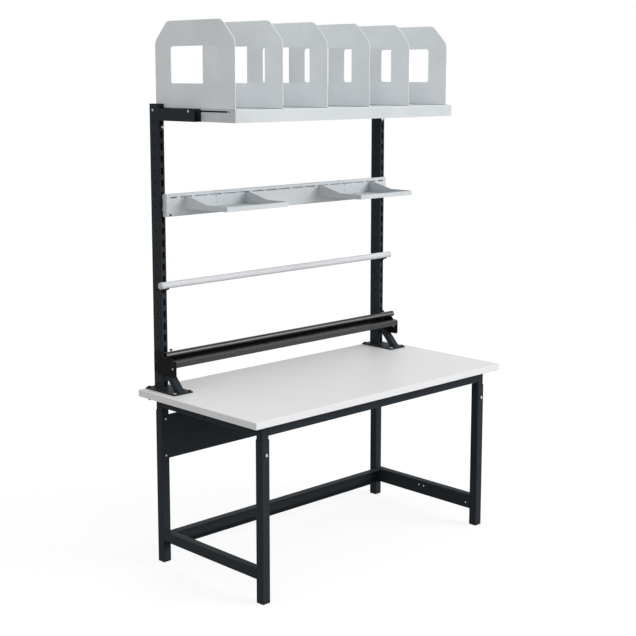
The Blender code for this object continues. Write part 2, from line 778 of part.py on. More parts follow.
def build_upper_frame(dark):
    """Front apron, rear beam and end beams between the inner legs."""
    half_inner = INNER_LEG_SIZE / 2
    reach = LEG_X - half_inner - GAP
    for name, row_y, face in (("front_apron", FRONT_LEG_Y, -1), ("rear_beam", REAR_LEG_Y, 1)):
        outer = row_y + face * half_inner
        path = [
            (-face * FRAME_BOTTOM_FLANGE, 0.0),
            (0.0, 0.0),
            (0.0, FRAME_HEIGHT),
            (-face * FRAME_TOP_FLANGE, FRAME_HEIGHT),
        ]
        if face < 0:
            path.reverse()
        bm = bmesh.new()
        prism(bm, folded_sheet(path, FRAME_SHEET, FRAME_BEND), "x", -reach, reach)
        beam = finish_object(name, bm, dark, (0.0, outer, FRAME_BOTTOM))
        centre_y = outer - face * FRAME_TOP_FLANGE / 2
        cutters = []
        for x in (-TOP_SCREW_PITCH, 0.0, TOP_SCREW_PITCH):
            cutters.append(cylinder_cut("z", (x, centre_y, FRAME_TOP), M5_SHANK / 2 + BOLT_PLAY,
                                        -FRAME_SHEET - CUT_MARGIN, CUT_MARGIN))
        cut(beam, several(cutters))

    start = FRONT_LEG_Y + half_inner + GAP
    end = REAR_LEG_Y - half_inner - GAP
    for side_name, side in sides():
        path = [
            (-side * FRAME_BOTTOM_FLANGE, 0.0),
            (0.0, 0.0),
            (0.0, FRAME_HEIGHT),
            (-side * FRAME_TOP_FLANGE, FRAME_HEIGHT),
        ]
        if side < 0:
            path.reverse()
        bm = bmesh.new()
        prism(bm, folded_sheet(path, FRAME_SHEET, FRAME_BEND), "y", start, end)
        finish_object("end_beam_" + side_name, bm, dark,
                      (side * (LEG_X + half_inner), 0.0, FRAME_BOTTOM))


def plate_bolt_spots():
    """Centres of the eight bolts of the base plates."""
    spots = []
    for side_name, side in sides():
        for along in (-1, 1):
            for across in (-1, 1):
                x = side * (UPRIGHT_X - PLATE_SHIFT) + across * (PLATE_WIDTH / 2 - PLATE_BOLT_INSET)
                y = PLATE_Y + along * (PLATE_DEPTH / 2 - PLATE_BOLT_INSET)
                spots.append((x, y))
    return spots


def top_screw_spots():
    """Centres of the screws that hold the tabletop from below."""
    half_inner = INNER_LEG_SIZE / 2
    spots = []
    for row_y, face in ((FRONT_LEG_Y, -1), (REAR_LEG_Y, 1)):
        for x in (-TOP_SCREW_PITCH, 0.0, TOP_SCREW_PITCH):
            spots.append((x, row_y + face * (half_inner - FRAME_TOP_FLANGE / 2)))
    return spots


def build_tabletop(laminate):
    """Laminated board with the holes for its screws and for the base plates' bolts."""
    bm = bmesh.new()
    loops = []
    for inset, height in ((TOP_EDGE, 0.0), (0.0, TOP_EDGE), (0.0, TOP_THICKNESS - TOP_EDGE),
                          (TOP_EDGE, TOP_THICKNESS)):
        outline = rounded_rect(TOP_LENGTH - 2 * inset, TOP_DEPTH - 2 * inset, TOP_CORNER - inset,
                               CORNER_STEPS)
        loops.append([(u, v, height) for u, v in outline])
    loft(bm, loops)
    top = finish_object("tabletop", bm, laminate, (0.0, 0.0, TOP_UNDERSIDE))
    cutters = []
    for x, y in plate_bolt_spots():
        cutters.append(cylinder_cut("z", (x, y, TOP_UNDERSIDE), M8_SHANK / 2 + BOLT_PLAY, -CUT_MARGIN,
                                    TOP_THICKNESS + CUT_MARGIN))
    for x, y in top_screw_spots():
        cutters.append(cylinder_cut("z", (x, y, TOP_UNDERSIDE), M5_SHANK / 2 + BOLT_PLAY, -CUT_MARGIN,
                                    TOP_SCREW_DEPTH + GAP))
    cut(top, several(cutters))


def build_base_plates(dark):
    """Plates that carry the uprights."""
    for side_name, side in sides():
        bm = bmesh.new()
        loops = []
        for inset, height in ((0.0, 0.0), (0.0, PLATE_THICKNESS - PLATE_EDGE),
                              (PLATE_EDGE, PLATE_THICKNESS)):
            outline = rounded_rect(PLATE_WIDTH - 2 * inset, PLATE_DEPTH - 2 * inset,
                                   PLATE_CORNER - inset, CORNER_STEPS)
            loops.append([(u, v, height) for u, v in outline])
        loft(bm, loops)
        plate = finish_object("base_plate_" + side_name, bm, dark,
                              (side * (UPRIGHT_X - PLATE_SHIFT), PLATE_Y, PLATE_BOTTOM))
        cutters = []
        for x, y in plate_bolt_spots():
            if x * side > 0:
                cutters.append(cylinder_cut("z", (x, y, PLATE_BOTTOM), M8_SHANK / 2 + BOLT_PLAY,
                                            -CUT_MARGIN, PLATE_THICKNESS + CUT_MARGIN))
        cut(plate, several(cutters))


def build_uprights(dark, plastic):
    """Perforated uprights: front slots for hooks, round holes through both sides."""
    bottom = UPRIGHT_BOTTOM
    tube_top = UPRIGHT_TOP - CAP_HEIGHT - GAP
    for side_name, side in sides():
        bm = bmesh.new()
        square_tube(bm, UPRIGHT_WIDTH, UPRIGHT_DEPTH, UPRIGHT_WALL, UPRIGHT_CORNER, 0.0,
                    tube_top - bottom)
        upright = finish_object("upright_" + side_name, bm, dark,
                                (side * UPRIGHT_X, UPRIGHT_Y, bottom))

        def slots(body):
            for z in PERF_HEIGHTS:
                box(body, side * UPRIGHT_X - SLOT_WIDTH / 2, side * UPRIGHT_X + SLOT_WIDTH / 2,
                    UPRIGHT_FRONT - CUT_MARGIN, UPRIGHT_FRONT + UPRIGHT_WALL + CUT_MARGIN,
                    z - SLOT_HEIGHT / 2, z + SLOT_HEIGHT / 2)

        cutters = [slots]
        for z in PERF_HEIGHTS:
            cutters.append(cylinder_cut("x", (side * UPRIGHT_X, UPRIGHT_Y, z), SIDE_HOLE / 2,
                                        -UPRIGHT_WIDTH / 2 - CUT_MARGIN,
                                        UPRIGHT_WIDTH / 2 + CUT_MARGIN))
        cut(upright, several(cutters))

        bm = bmesh.new()
        plug_w = UPRIGHT_WIDTH - 2 * UPRIGHT_WALL - 2 * GAP
        plug_d = UPRIGHT_DEPTH - 2 * UPRIGHT_WALL - 2 * GAP
        plug_corner = UPRIGHT_CORNER - UPRIGHT_WALL + GAP
        chamfer = CAP_HEIGHT / 3
        loops = []
        for width, depth, corner, height in (
            (plug_w, plug_d, plug_corner, -CAP_PLUG),
            (plug_w, plug_d, plug_corner, 0.0),
            (UPRIGHT_WIDTH, UPRIGHT_DEPTH, UPRIGHT_CORNER, 0.0),
            (UPRIGHT_WIDTH, UPRIGHT_DEPTH, UPRIGHT_CORNER, CAP_HEIGHT - chamfer),
            (UPRIGHT_WIDTH - 2 * chamfer, UPRIGHT_DEPTH - 2 * chamfer, UPRIGHT_CORNER - chamfer,
             CAP_HEIGHT),
        ):
            outline = rounded_rect(width, depth, corner, CORNER_STEPS)
            loops.append([(u, v, height) for u, v in outline])
        loft(bm, loops)
        finish_object("upright_cap_" + side_name, bm, plastic,
                      (side * UPRIGHT_X, UPRIGHT_Y, UPRIGHT_TOP - CAP_HEIGHT))


def build_braces(dark):
    """Slanting channel struts between the base plates and the uprights."""
    top_y = UPRIGHT_FRONT - GAP
    front_y = top_y - BRACE_RUN
    top_z = UPRIGHT_BOTTOM + BRACE_RISE
    length = hypot(BRACE_RUN, BRACE_RISE)
    drop = BRACE_THICKNESS * length / BRACE_RUN
    inset = BRACE_SHEET * length / BRACE_RUN
    back = BRACE_THICKNESS * length / BRACE_RISE
    for side_name, side in sides():
        outline = [
            (front_y, UPRIGHT_BOTTOM),
            (top_y, top_z),
            (top_y, top_z - drop),
            (front_y + back, UPRIGHT_BOTTOM),
        ]
        bm = bmesh.new()
        prism(bm, outline, "x", -UPRIGHT_WIDTH / 2, UPRIGHT_WIDTH / 2)
        brace = finish_object("brace_" + side_name, bm, dark, (side * UPRIGHT_X, 0.0, 0.0))
        slope = BRACE_RISE / BRACE_RUN
        start_y = front_y - BRACE_THICKNESS
        end_y = top_y + BRACE_THICKNESS

        def channel(body):
            low = UPRIGHT_BOTTOM - inset + slope * (start_y - front_y)
            high = UPRIGHT_BOTTOM - inset + slope * (end_y - front_y)
            shape = [(start_y, low - 2 * drop), (end_y, high - 2 * drop), (end_y, high), (start_y, low)]
            inner = UPRIGHT_WIDTH / 2 - BRACE_SHEET
            prism(body, shape, "x", side * UPRIGHT_X - inner, side * UPRIGHT_X + inner)

        cut(brace, channel)


def build_shelf(dark, grey, zinc):
    """Shelf arms astride the uprights, the shelf between them and its bolts."""
    outer_x = UPRIGHT_OUT + GAP + ARM_SHEET
    inner_x = UPRIGHT_IN - GAP - ARM_SHEET
    mid_x = (outer_x + inner_x) / 2
    half = (outer_x - inner_x) / 2
    cheek = [
        (ARM_FRONT_Y, ARM_BOTTOM),
        (ARM_REAR_Y, ARM_BOTTOM),
        (ARM_REAR_Y, SHELF_TOP),
        (ARM_FRONT_Y, SHELF_TOP),
    ]
    cheek = rounded_path(cheek, [0, ARM_CORNER, ARM_CORNER, ARM_CORNER], CORNER_STEPS, True)
    for side_name, side in sides():
        bm = bmesh.new()
        prism(bm, cheek, "x", -half, half)
        arm = finish_object("shelf_arm_" + side_name, bm, dark, (side * mid_x, 0.0, 0.0))

        def hollow(body):
            box(body, side * mid_x - half + ARM_SHEET, side * mid_x + half - ARM_SHEET,
                ARM_FRONT_Y - CUT_MARGIN, ARM_REAR_Y + CUT_MARGIN, ARM_BOTTOM + ARM_SHEET,
                SHELF_TOP + CUT_MARGIN)

        def window(body):
            box(body, side * mid_x - half + ARM_SHEET, side * mid_x + half - ARM_SHEET,
                UPRIGHT_FRONT - GAP, ARM_REAR_Y + CUT_MARGIN, ARM_BOTTOM - CUT_MARGIN,
                ARM_BOTTOM + ARM_SHEET + CUT_MARGIN / 2)

        cut(arm, hollow)
        cut(arm, window)
        reach = half + CUT_MARGIN
        bolt_hole = M6_SHANK / 2 + BOLT_PLAY
        cut(arm, several([
            cylinder_cut("x", (side * mid_x, UPRIGHT_Y, ARM_BOLT_Z), bolt_hole, -reach, reach),
            cylinder_cut("x", (side * mid_x, ARM_BOLT_Y, ARM_BOLT_Z), bolt_hole, -reach, reach),
        ]))

    length = 2 * SHELF_HALF
    depth = SHELF_REAR - SHELF_FRONT
    bm = bmesh.new()
    open_box(bm, length, depth, ARM_HEIGHT, SHELF_SHEET, SHELF_CORNER, SHELF_HEM)
    turn_box(bm, "z", 1)
    shelf = finish_object("shelf", bm, grey, (0.0, SHELF_Y, ARM_BOTTOM))
    slot_height = M6_SHANK + 2 * BOLT_PLAY
    slot_outline = rounded_rect(SHELF_SLOT_LENGTH, slot_height, slot_height / 3, CORNER_STEPS)
    slot_y = SHELF_FRONT + SHELF_SLOT_INSET
    end_hole_y = SHELF_FRONT + SHELF_END_HOLE_INSET

    def end_slots(body):
        for side_name, side in sides():
            edges = sorted((side * (SHELF_HALF + CUT_MARGIN),
                            side * (SHELF_HALF - SHELF_SHEET - CUT_MARGIN)))
            near = [(y + slot_y, z + ARM_BOLT_Z) for y, z in slot_outline]
            prism(body, near, "x", edges[0], edges[1])
            turned(body, [(edges[0], SHELF_END_HOLE / 2), (edges[1], SHELF_END_HOLE / 2)],
                   HOLE_STEPS, "x", (0.0, end_hole_y, ARM_BOLT_Z))

    cut(shelf, end_slots)

    long_grip = outer_x - inner_x + 2 * GAP
    short_grip = outer_x - SHELF_HALF + SHELF_SHEET + 2 * GAP
    for side_name, side in sides():
        seat = side * (outer_x + GAP)
        bm = bmesh.new()
        hex_bolt(bm, "x", side, (M6_SHANK, M6_HEAD, M6_HEAD_HEIGHT), long_grip - GAP)
        finish_object("arm_bolt_" + side_name, bm, zinc, (seat, UPRIGHT_Y, ARM_BOLT_Z))
        bm = bmesh.new()
        hex_bolt(bm, "x", side, (M6_SHANK, M6_HEAD, M6_HEAD_HEIGHT), short_grip, M6_NUT_HEIGHT, M6_TAIL)
        finish_object("shelf_bolt_" + side_name, bm, zinc, (seat, ARM_BOLT_Y, ARM_BOLT_Z))


def build_dividers(grey):
    """Windowed sheet dividers standing on the shelf."""
    depth = SHELF_REAR - SHELF_FRONT
    corners = [
        (-depth / 2, 0.0),
        (depth / 2, 0.0),
        (depth / 2, DIVIDER_HEIGHT - DIVIDER_CHAMFER),
        (depth / 2 - DIVIDER_CHAMFER, DIVIDER_HEIGHT),
        (-depth / 2 + DIVIDER_CHAMFER, DIVIDER_HEIGHT),
        (-depth / 2, DIVIDER_HEIGHT - DIVIDER_CHAMFER),
    ]
    radii = [0, 0, DIVIDER_ROUND, DIVIDER_ROUND, DIVIDER_ROUND, DIVIDER_ROUND]
    outline = rounded_path(corners, radii, 2 * CORNER_STEPS, True)
    window = rounded_rect(WINDOW_WIDTH, WINDOW_HEIGHT, WINDOW_CORNER, CORNER_STEPS)
    window_y = SHELF_Y + WINDOW_SHIFT
    window_z = SHELF_TOP + WINDOW_RAISE + WINDOW_HEIGHT / 2
    foot_path = [(DIVIDER_FOOT, 0.0), (0.0, 0.0), (0.0, DIVIDER_HEIGHT)]
    for number in range(DIVIDER_COUNT):
        x = DIVIDER_INSET + DIVIDER_SHEET / 2 - SHELF_HALF + DIVIDER_PITCH * number
        bm = bmesh.new()
        sheet = folded_sheet(list(reversed(foot_path)), DIVIDER_SHEET, DIVIDER_FOOT_BEND)
        prism(bm, sheet, "y", -depth / 2, depth / 2)
        divider = finish_object("divider_" + str(number + 1), bm, grey,
                                (x - DIVIDER_SHEET / 2, SHELF_Y, DIVIDER_BOTTOM))

        def trim(body):
            start = x - DIVIDER_SHEET / 2 - CUT_MARGIN
            end = x + DIVIDER_SHEET / 2 + DIVIDER_FOOT + CUT_MARGIN
            for sense in (-1, 1):
                near = SHELF_Y + sense * depth / 2
                curve = [(y + SHELF_Y, z + DIVIDER_BOTTOM) for y, z in outline
                         if sense * y > depth / 2 - 1.5 * DIVIDER_CHAMFER
                         and z > DIVIDER_HEIGHT / 2]
                curve.sort(key=lambda point: point[1])
                shape = curve + [
                    (curve[-1][0], SHELF_TOP + DIVIDER_HEIGHT + DIVIDER_FOOT),
                    (near + sense * DIVIDER_FOOT, SHELF_TOP + DIVIDER_HEIGHT + DIVIDER_FOOT),
                    (near + sense * DIVIDER_FOOT, curve[0][1]),
                ]
                prism(body, shape, "x", start, end)

        def opening(body):
            shape = [(y + window_y, z + window_z) for y, z in window]
            prism(body, shape, "x", x - DIVIDER_SHEET / 2 - CUT_MARGIN, x + DIVIDER_SHEET / 2 + CUT_MARGIN)

        cut(divider, trim)
        cut(divider, opening)


def build_tray_rail(grey):
    """Slotted rail that hooks into the uprights and carries the trays."""
    path = [
        (HANG_TOP_FLANGE, HANG_TOP - HANG_BOTTOM - HANG_RETURN),
        (HANG_TOP_FLANGE, HANG_TOP - HANG_BOTTOM),
        (0.0, HANG_TOP - HANG_BOTTOM),
        (0.0, 0.0),
        (HANG_BOTTOM_FLANGE, 0.0),
    ]
    bm = bmesh.new()
    prism(bm, folded_sheet(path, HANG_SHEET, HANG_BEND), "x", -HANG_HALF, HANG_HALF)
    rail = finish_object("tray_rail", bm, grey, (0.0, HANG_FRONT_Y, HANG_BOTTOM))
    centres = []
    end_x = HANG_HALF - HANG_END_SLOT_INSET
    slot_room = end_x - HANG_END_SLOT_LENGTH / 2 - HANG_SLOT_LENGTH / 2
    reach = int(slot_room / HANG_SLOT_PITCH)
    for k in range(-reach, reach + 1):
        centres.append((k * HANG_SLOT_PITCH, HANG_SLOT_LENGTH))
    for side_name, side in sides():
        centres.append((side * end_x, HANG_END_SLOT_LENGTH))

    def slots(body):
        for x, length in centres:
            box(body, x - length / 2, x + length / 2, HANG_FRONT_Y - CUT_MARGIN,
                HANG_FRONT_Y + HANG_SHEET + CUT_MARGIN, HANG_SLOT_Z - HANG_SLOT_HEIGHT / 2,
                HANG_SLOT_Z + HANG_SLOT_HEIGHT / 2)

    cut(rail, slots)
    cut(rail, several([
        cylinder_cut("y", (side * (HANG_HALF - HANG_SCREW_INSET), HANG_FRONT_Y,
                           HANG_BOTTOM + HANG_SCREW_RAISE),
                     M5_SHANK / 2 + BOLT_PLAY, -CUT_MARGIN, HANG_SHEET + CUT_MARGIN)
        for side_name, side in sides()]))

    back = UPRIGHT_FRONT - GAP
    inside = UPRIGHT_FRONT + UPRIGHT_WALL + GAP
    used = PERF_HEIGHTS[HANG_SLOT:HANG_SLOT + 2]
    outline = [(HANG_FRONT_Y, HANG_BOTTOM), (back, HANG_BOTTOM)]
    for z in used:
        foot = z - SLOT_HEIGHT / 2 + GAP
        outline += [
            (back, foot),
            (inside, foot),
            (inside, foot - HOOK_DROP),
            (inside + HOOK_TIP, foot - HOOK_DROP),
            (inside + HOOK_TIP, foot + HOOK_NECK),
            (back, foot + HOOK_NECK),
        ]
    outline += [(back, HANG_TOP), (HANG_FRONT_Y, HANG_TOP)]

    def hooks(body):
        for side_name, side in sides():
            edges = sorted((side * (HANG_HALF - HANG_SHEET / 2), side * (HANG_HALF + HOOK_SHEET)))
            prism(body, outline, "x", edges[0], edges[1])

    cut(rail, hooks, "UNION")


def build_trays(grey):
    """Shallow trays with stepped sides whose rear walls end in tongues that hang in the rail."""
    rear = HANG_FRONT_Y - GAP
    front = rear - TRAY_DEPTH
    tongue_low = HANG_SLOT_Z - HANG_SLOT_HEIGHT / 2 + GAP
    tongue_top = tongue_low + TRAY_SHEET
    bottom = tongue_top - TRAY_HEIGHT
    outer = [
        (rear, bottom),
        (front, bottom + TRAY_FLOOR_RISE),
        (front, bottom + TRAY_FLOOR_RISE + TRAY_LIP),
        (front + TRAY_LEVEL, bottom + TRAY_FLOOR_RISE + TRAY_LIP),
        (rear - TRAY_CREST, bottom + TRAY_HEIGHT),
        (rear, bottom + TRAY_HEIGHT),
    ]
    top = bottom + TRAY_HEIGHT + CUT_MARGIN
    inner = [
        (rear - TRAY_SHEET, bottom + TRAY_SHEET),
        (front + TRAY_SHEET, bottom + TRAY_FLOOR_RISE + TRAY_SHEET),
        (front + TRAY_SHEET, top),
        (rear - TRAY_SHEET, top),
    ]
    inside = HANG_FRONT_Y + HANG_SHEET + GAP
    root = rear - TRAY_SHEET / 2
    tongue = [
        (root, tongue_low),
        (inside, tongue_low),
        (inside, tongue_low - TRAY_TONGUE_DROP),
        (inside + TRAY_SHEET, tongue_low - TRAY_TONGUE_DROP),
        (inside + TRAY_SHEET, tongue_top),
        (root, tongue_top),
    ]
    for name, x in (("tray_left", TRAY_LEFT_X), ("tray_right", TRAY_RIGHT_X)):
        half = TRAY_WIDTH / 2
        bm = bmesh.new()
        prism(bm, outer, "x", -half, half)
        tray = finish_object(name, bm, grey, (x, 0.0, 0.0))

        def hollow(body):
            prism(body, inner, "x", x - half + TRAY_SHEET, x + half - TRAY_SHEET)

        def slits(body):
            for z in (bottom + TRAY_SLIT_LOW, bottom + TRAY_SLIT_HIGH):
                box(body, x - TRAY_SLIT_WIDTH / 2, x + TRAY_SLIT_WIDTH / 2,
                    rear - TRAY_SHEET - CUT_MARGIN, rear + CUT_MARGIN,
                    z - TRAY_SLIT_HEIGHT / 2, z + TRAY_SLIT_HEIGHT / 2)

        def tongues(body):
            for sense in (-1, 1):
                spot = round((x + sense * TRAY_TONGUE_REACH) / HANG_SLOT_PITCH) * HANG_SLOT_PITCH
                prism(body, tongue, "x", spot - TRAY_TONGUE_WIDTH / 2, spot + TRAY_TONGUE_WIDTH / 2)

        cut(tray, hollow)
        cut(tray, slits)
        cut(tray, tongues, "UNION")


def build_spindle(pale, pale_plastic, dark):
    """Roll spindle with end caps, and the cradles it lies in."""
    bm = bmesh.new()
    outer = circle(SPINDLE_RADIUS, ROUND_STEPS)
    inner = circle(SPINDLE_RADIUS - SPINDLE_WALL, ROUND_STEPS)
    rings = [
        [(-SPINDLE_HALF, u, v) for u, v in outer],
        [(SPINDLE_HALF, u, v) for u, v in outer],
        [(SPINDLE_HALF, u, v) for u, v in inner],
        [(-SPINDLE_HALF, u, v) for u, v in inner],
    ]
    loft(bm, rings, closed_ring=True)
    finish_object("spindle_tube", bm, pale, (0.0, SPINDLE_Y, SPINDLE_Z))

    plug = SPINDLE_RADIUS - SPINDLE_WALL - GAP
    step = SPINDLE_CAP_ROUND * (1 - cos(pi / 4))
    width = SPINDLE_CAP_LENGTH - GAP
    for side_name, side in sides():
        profile = [
            (-side * SPINDLE_CAP_PLUG, plug),
            (0.0, plug),
            (0.0, SPINDLE_RADIUS),
            (side * (width - SPINDLE_CAP_ROUND), SPINDLE_RADIUS),
            (side * (width - step), SPINDLE_RADIUS - step),
            (side * width, SPINDLE_RADIUS - SPINDLE_CAP_ROUND),
        ]
        bm = bmesh.new()
        turned(bm, profile, ROUND_STEPS, "x", (0.0, 0.0, 0.0))
        finish_object("spindle_cap_" + side_name, bm, pale_plastic,
                      (side * (SPINDLE_HALF + GAP), SPINDLE_Y, SPINDLE_Z))

    foot = PERF_HEIGHTS[SPINDLE_SLOT] - SLOT_HEIGHT / 2 + GAP
    back = UPRIGHT_FRONT - GAP
    inside = UPRIGHT_FRONT + UPRIGHT_WALL + GAP
    seat_radius = SPINDLE_RADIUS + GAP
    shell_radius = seat_radius + CRADLE_THICKNESS
    for side_name, side in sides():
        cradle = []
        for k in range(CRADLE_STEPS + 1):
            angle = radians(-90.0 - CRADLE_TIP_ANGLE_DEG * (1.0 - 2.0 * k / CRADLE_STEPS))
            cradle.append((SPINDLE_Y + seat_radius * cos(angle), SPINDLE_Z + seat_radius * sin(angle)))
        end_angle = radians(-90.0 - CRADLE_TIP_ANGLE_DEG)
        lower = []
        for k in range(CRADLE_STEPS // 2 + 1):
            angle = end_angle + radians(CRADLE_TIP_ANGLE_DEG) * k / (CRADLE_STEPS // 2)
            lower.append((SPINDLE_Y + shell_radius * cos(angle), SPINDLE_Z + shell_radius * sin(angle)))
        outline = lower + [
            (back, SPINDLE_Z - shell_radius - HOOK_NECK),
            (back, foot),
            (inside, foot),
            (inside, foot - HOOK_DROP),
            (inside + HOOK_TIP, foot - HOOK_DROP),
            (inside + HOOK_TIP, foot + HOOK_NECK),
            (back, foot + HOOK_NECK),
            (back, SPINDLE_Z - SPINDLE_RADIUS / 2),
        ] + list(reversed(cradle))
        bm = bmesh.new()
        prism(bm, outline, "x", -CRADLE_SHEET / 2, CRADLE_SHEET / 2)
        finish_object("spindle_cradle_" + side_name, bm, dark, (side * UPRIGHT_X, 0.0, 0.0))


def build_cutter(black, black_metal, rail_metal):
    """Side plates with open seats, the round pressure bar in them, the rail and its trough."""
    front_top = CUTTER_BOTTOM + CUTTER_FRONT_HEIGHT
    slope = radians(SEAT_SLOPE_DEG)
    seat_y = BAR_Y - SEAT_INNER * cos(slope)
    seat_z = BAR_Z - SEAT_INNER * sin(slope)
    corners = [
        (CUTTER_FRONT_Y, CUTTER_BOTTOM),
        (CUTTER_REAR_Y, CUTTER_BOTTOM),
        (CUTTER_REAR_Y, CUTTER_BOTTOM + CUTTER_REAR_HEIGHT),
        (BAR_Y, CUTTER_BOTTOM + CUTTER_REAR_HEIGHT),
        (seat_y, seat_z),
        (seat_y - (seat_z - front_top) / tan(slope), front_top),
        (CUTTER_FRONT_Y, front_top),
    ]
    radii = [CUTTER_CORNER] * 3 + [0.0, 0.0] + [CUTTER_CORNER] * 2
    outline = rounded_path(corners, radii, CORNER_STEPS, True)
    mounts = [z for z in PERF_HEIGHTS if z > CUTTER_BOTTOM][:CUT_MOUNT_COUNT]
    screw_heights = [CUT_SCREW_TOP - CUT_SCREW_PITCH * k for k in range(CUT_SCREW_COUNT)]
    for side_name, side in sides():
        inner = UPRIGHT_OUT + GAP
        edges = sorted((0.0, side * CUTTER_PLATE))
        bm = bmesh.new()
        prism(bm, outline, "x", edges[0], edges[1])
        plate = finish_object("cutter_plate_" + side_name, bm, black, (side * inner, 0.0, 0.0))
        reach = sorted((-side * CUT_MARGIN, side * (CUTTER_PLATE + CUT_MARGIN)))
        centre_x = side * inner
        cutters = [cylinder_cut("x", (centre_x, BAR_Y, BAR_Z), BAR_RADIUS + GAP, reach[0], reach[1],
                                ROUND_STEPS)]
        for z in mounts:
            cutters.append(cylinder_cut("x", (centre_x, UPRIGHT_Y, z), M8_SHANK / 2 + BOLT_PLAY,
                                        reach[0], reach[1]))
        for z in screw_heights:
            cutters.append(cylinder_cut("x", (centre_x, CUT_SCREW_Y, z), M5_SHANK / 2 + BOLT_PLAY,
                                        reach[0], reach[1]))
        cut(plate, several(cutters))

    bm = bmesh.new()
    profile = [
        (-BAR_HALF, BAR_RADIUS - BAR_CHAMFER),
        (-BAR_HALF + BAR_CHAMFER, BAR_RADIUS),
        (BAR_HALF - BAR_CHAMFER, BAR_RADIUS),
        (BAR_HALF, BAR_RADIUS - BAR_CHAMFER),
    ]
    turned(bm, profile, ROUND_STEPS, "x", (0.0, 0.0, 0.0))
    finish_object("pressure_bar", bm, black_metal, (0.0, BAR_Y, BAR_Z))

    path = [
        (CUT_RAIL_DEPTH, CUT_RAIL_HEIGHT),
        (0.0, CUT_RAIL_HEIGHT),
        (0.0, 0.0),
        (CUT_RAIL_DEPTH, 0.0),
    ]
    bm = bmesh.new()
    prism(bm, folded_sheet(path, CUT_RAIL_SHEET, CUT_RAIL_BEND), "x", -CUT_RAIL_HALF, CUT_RAIL_HALF)
    finish_object("cutting_rail", bm, rail_metal, (0.0, CUT_RAIL_FRONT_Y, CUT_RAIL_BOTTOM))

    front = CUT_RAIL_FRONT_Y + CUT_RAIL_DEPTH + TROUGH_SPACE
    run = UPRIGHT_FRONT - GAP - front
    path = [
        (0.0, 0.0),
        (run, 0.0),
        (run, TROUGH_RISE),
    ]
    bm = bmesh.new()
    prism(bm, folded_sheet(path, TROUGH_SHEET, TROUGH_BEND), "x", -UPRIGHT_OUT, UPRIGHT_OUT)
    finish_object("cutter_trough", bm, black, (0.0, front, TROUGH_BOTTOM))


def main():
    """Build the whole bench."""
    clear_scene()
    dark = make_material("anthracite_paint", (0.045, 0.049, 0.055), 0.5, 0.0)
    black = make_material("black_paint", (0.012, 0.012, 0.013), 0.45, 0.0)
    black_metal = make_material("black_steel", (0.010, 0.010, 0.011), 0.25, 0.6)
    rail_metal = make_material("grey_rail_paint", (0.085, 0.085, 0.085), 0.45, 0.0)
    plastic = make_material("black_plastic", (0.015, 0.015, 0.016), 0.6, 0.0)
    grey = make_material("light_grey_paint", (0.62, 0.64, 0.66), 0.5, 0.0)
    pale = make_material("pale_tube_paint", (0.66, 0.67, 0.68), 0.4, 0.0)
    pale_plastic = make_material("grey_plastic", (0.50, 0.51, 0.52), 0.5, 0.0)
    laminate = make_material("pale_laminate", (0.74, 0.74, 0.74), 0.45, 0.0)
    zinc = make_material("zinc_steel", (0.62, 0.63, 0.65), 0.32, 1.0)

    build_legs(dark, plastic)
    build_lower_frame(dark)
    build_rear_panel(dark)
    build_lock_screws(zinc)
    build_inner_legs(dark)
    build_upper_frame(dark)
    build_tabletop(laminate)
    build_base_plates(dark)
    build_uprights(dark, plastic)
    build_braces(dark)
    build_shelf(dark, grey, zinc)
    build_dividers(grey)
    build_tray_rail(grey)
    build_trays(grey)
    build_spindle(pale, pale_plastic, dark)
    build_cutter(black, black_metal, rail_metal)


main()
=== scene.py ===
"""Packing workbench: finishes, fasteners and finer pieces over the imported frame, and the studio round it."""

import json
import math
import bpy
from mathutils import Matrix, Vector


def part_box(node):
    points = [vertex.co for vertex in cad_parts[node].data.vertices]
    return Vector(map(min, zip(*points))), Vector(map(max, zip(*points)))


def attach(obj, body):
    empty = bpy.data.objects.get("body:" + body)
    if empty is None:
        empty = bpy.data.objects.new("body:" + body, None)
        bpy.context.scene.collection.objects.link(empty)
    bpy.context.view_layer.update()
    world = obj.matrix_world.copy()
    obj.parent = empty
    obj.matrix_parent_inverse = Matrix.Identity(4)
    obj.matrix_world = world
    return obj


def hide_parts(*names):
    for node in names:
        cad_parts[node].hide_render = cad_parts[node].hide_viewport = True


bl_info = {
    "name": "Packing Workbench",
    "version": (1, 0, 0),
    "blender": (4, 5, 0),
    "location": "3D View > Sidebar > Workbench",
    "description": "Builds the finished look of a packing workbench over its solid frame",
    "category": "Add Mesh",
}

import bmesh
import bpy
from mathutils import Matrix, Vector

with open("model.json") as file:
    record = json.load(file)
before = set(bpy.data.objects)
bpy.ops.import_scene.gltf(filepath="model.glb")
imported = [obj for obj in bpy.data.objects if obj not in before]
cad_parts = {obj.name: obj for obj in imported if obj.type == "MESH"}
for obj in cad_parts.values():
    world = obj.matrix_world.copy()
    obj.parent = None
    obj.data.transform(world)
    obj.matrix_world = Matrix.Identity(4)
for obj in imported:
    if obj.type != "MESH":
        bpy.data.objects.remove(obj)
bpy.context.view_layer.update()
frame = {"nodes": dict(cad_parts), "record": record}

SIDES = (("left", -1), ("right", 1))

HEX_SIDES = 6
ROUND_STEPS = 32
ROD_STEPS = 72
DOME_STEPS = 4
CAP_STEPS = 6
SMOOTH_ANGLE = math.radians(40.0)
MERGE_DISTANCE = 1e-6
SEAT = 0.0002

# Sheet thickness of the solids that carry fasteners
FRAME_SHEET = 0.0020
SHELF_SHEET = 0.0015
DIVIDER_SHEET = 0.0025
HOOK_SHEET = 0.0030
TROUGH_SHEET = 0.0015

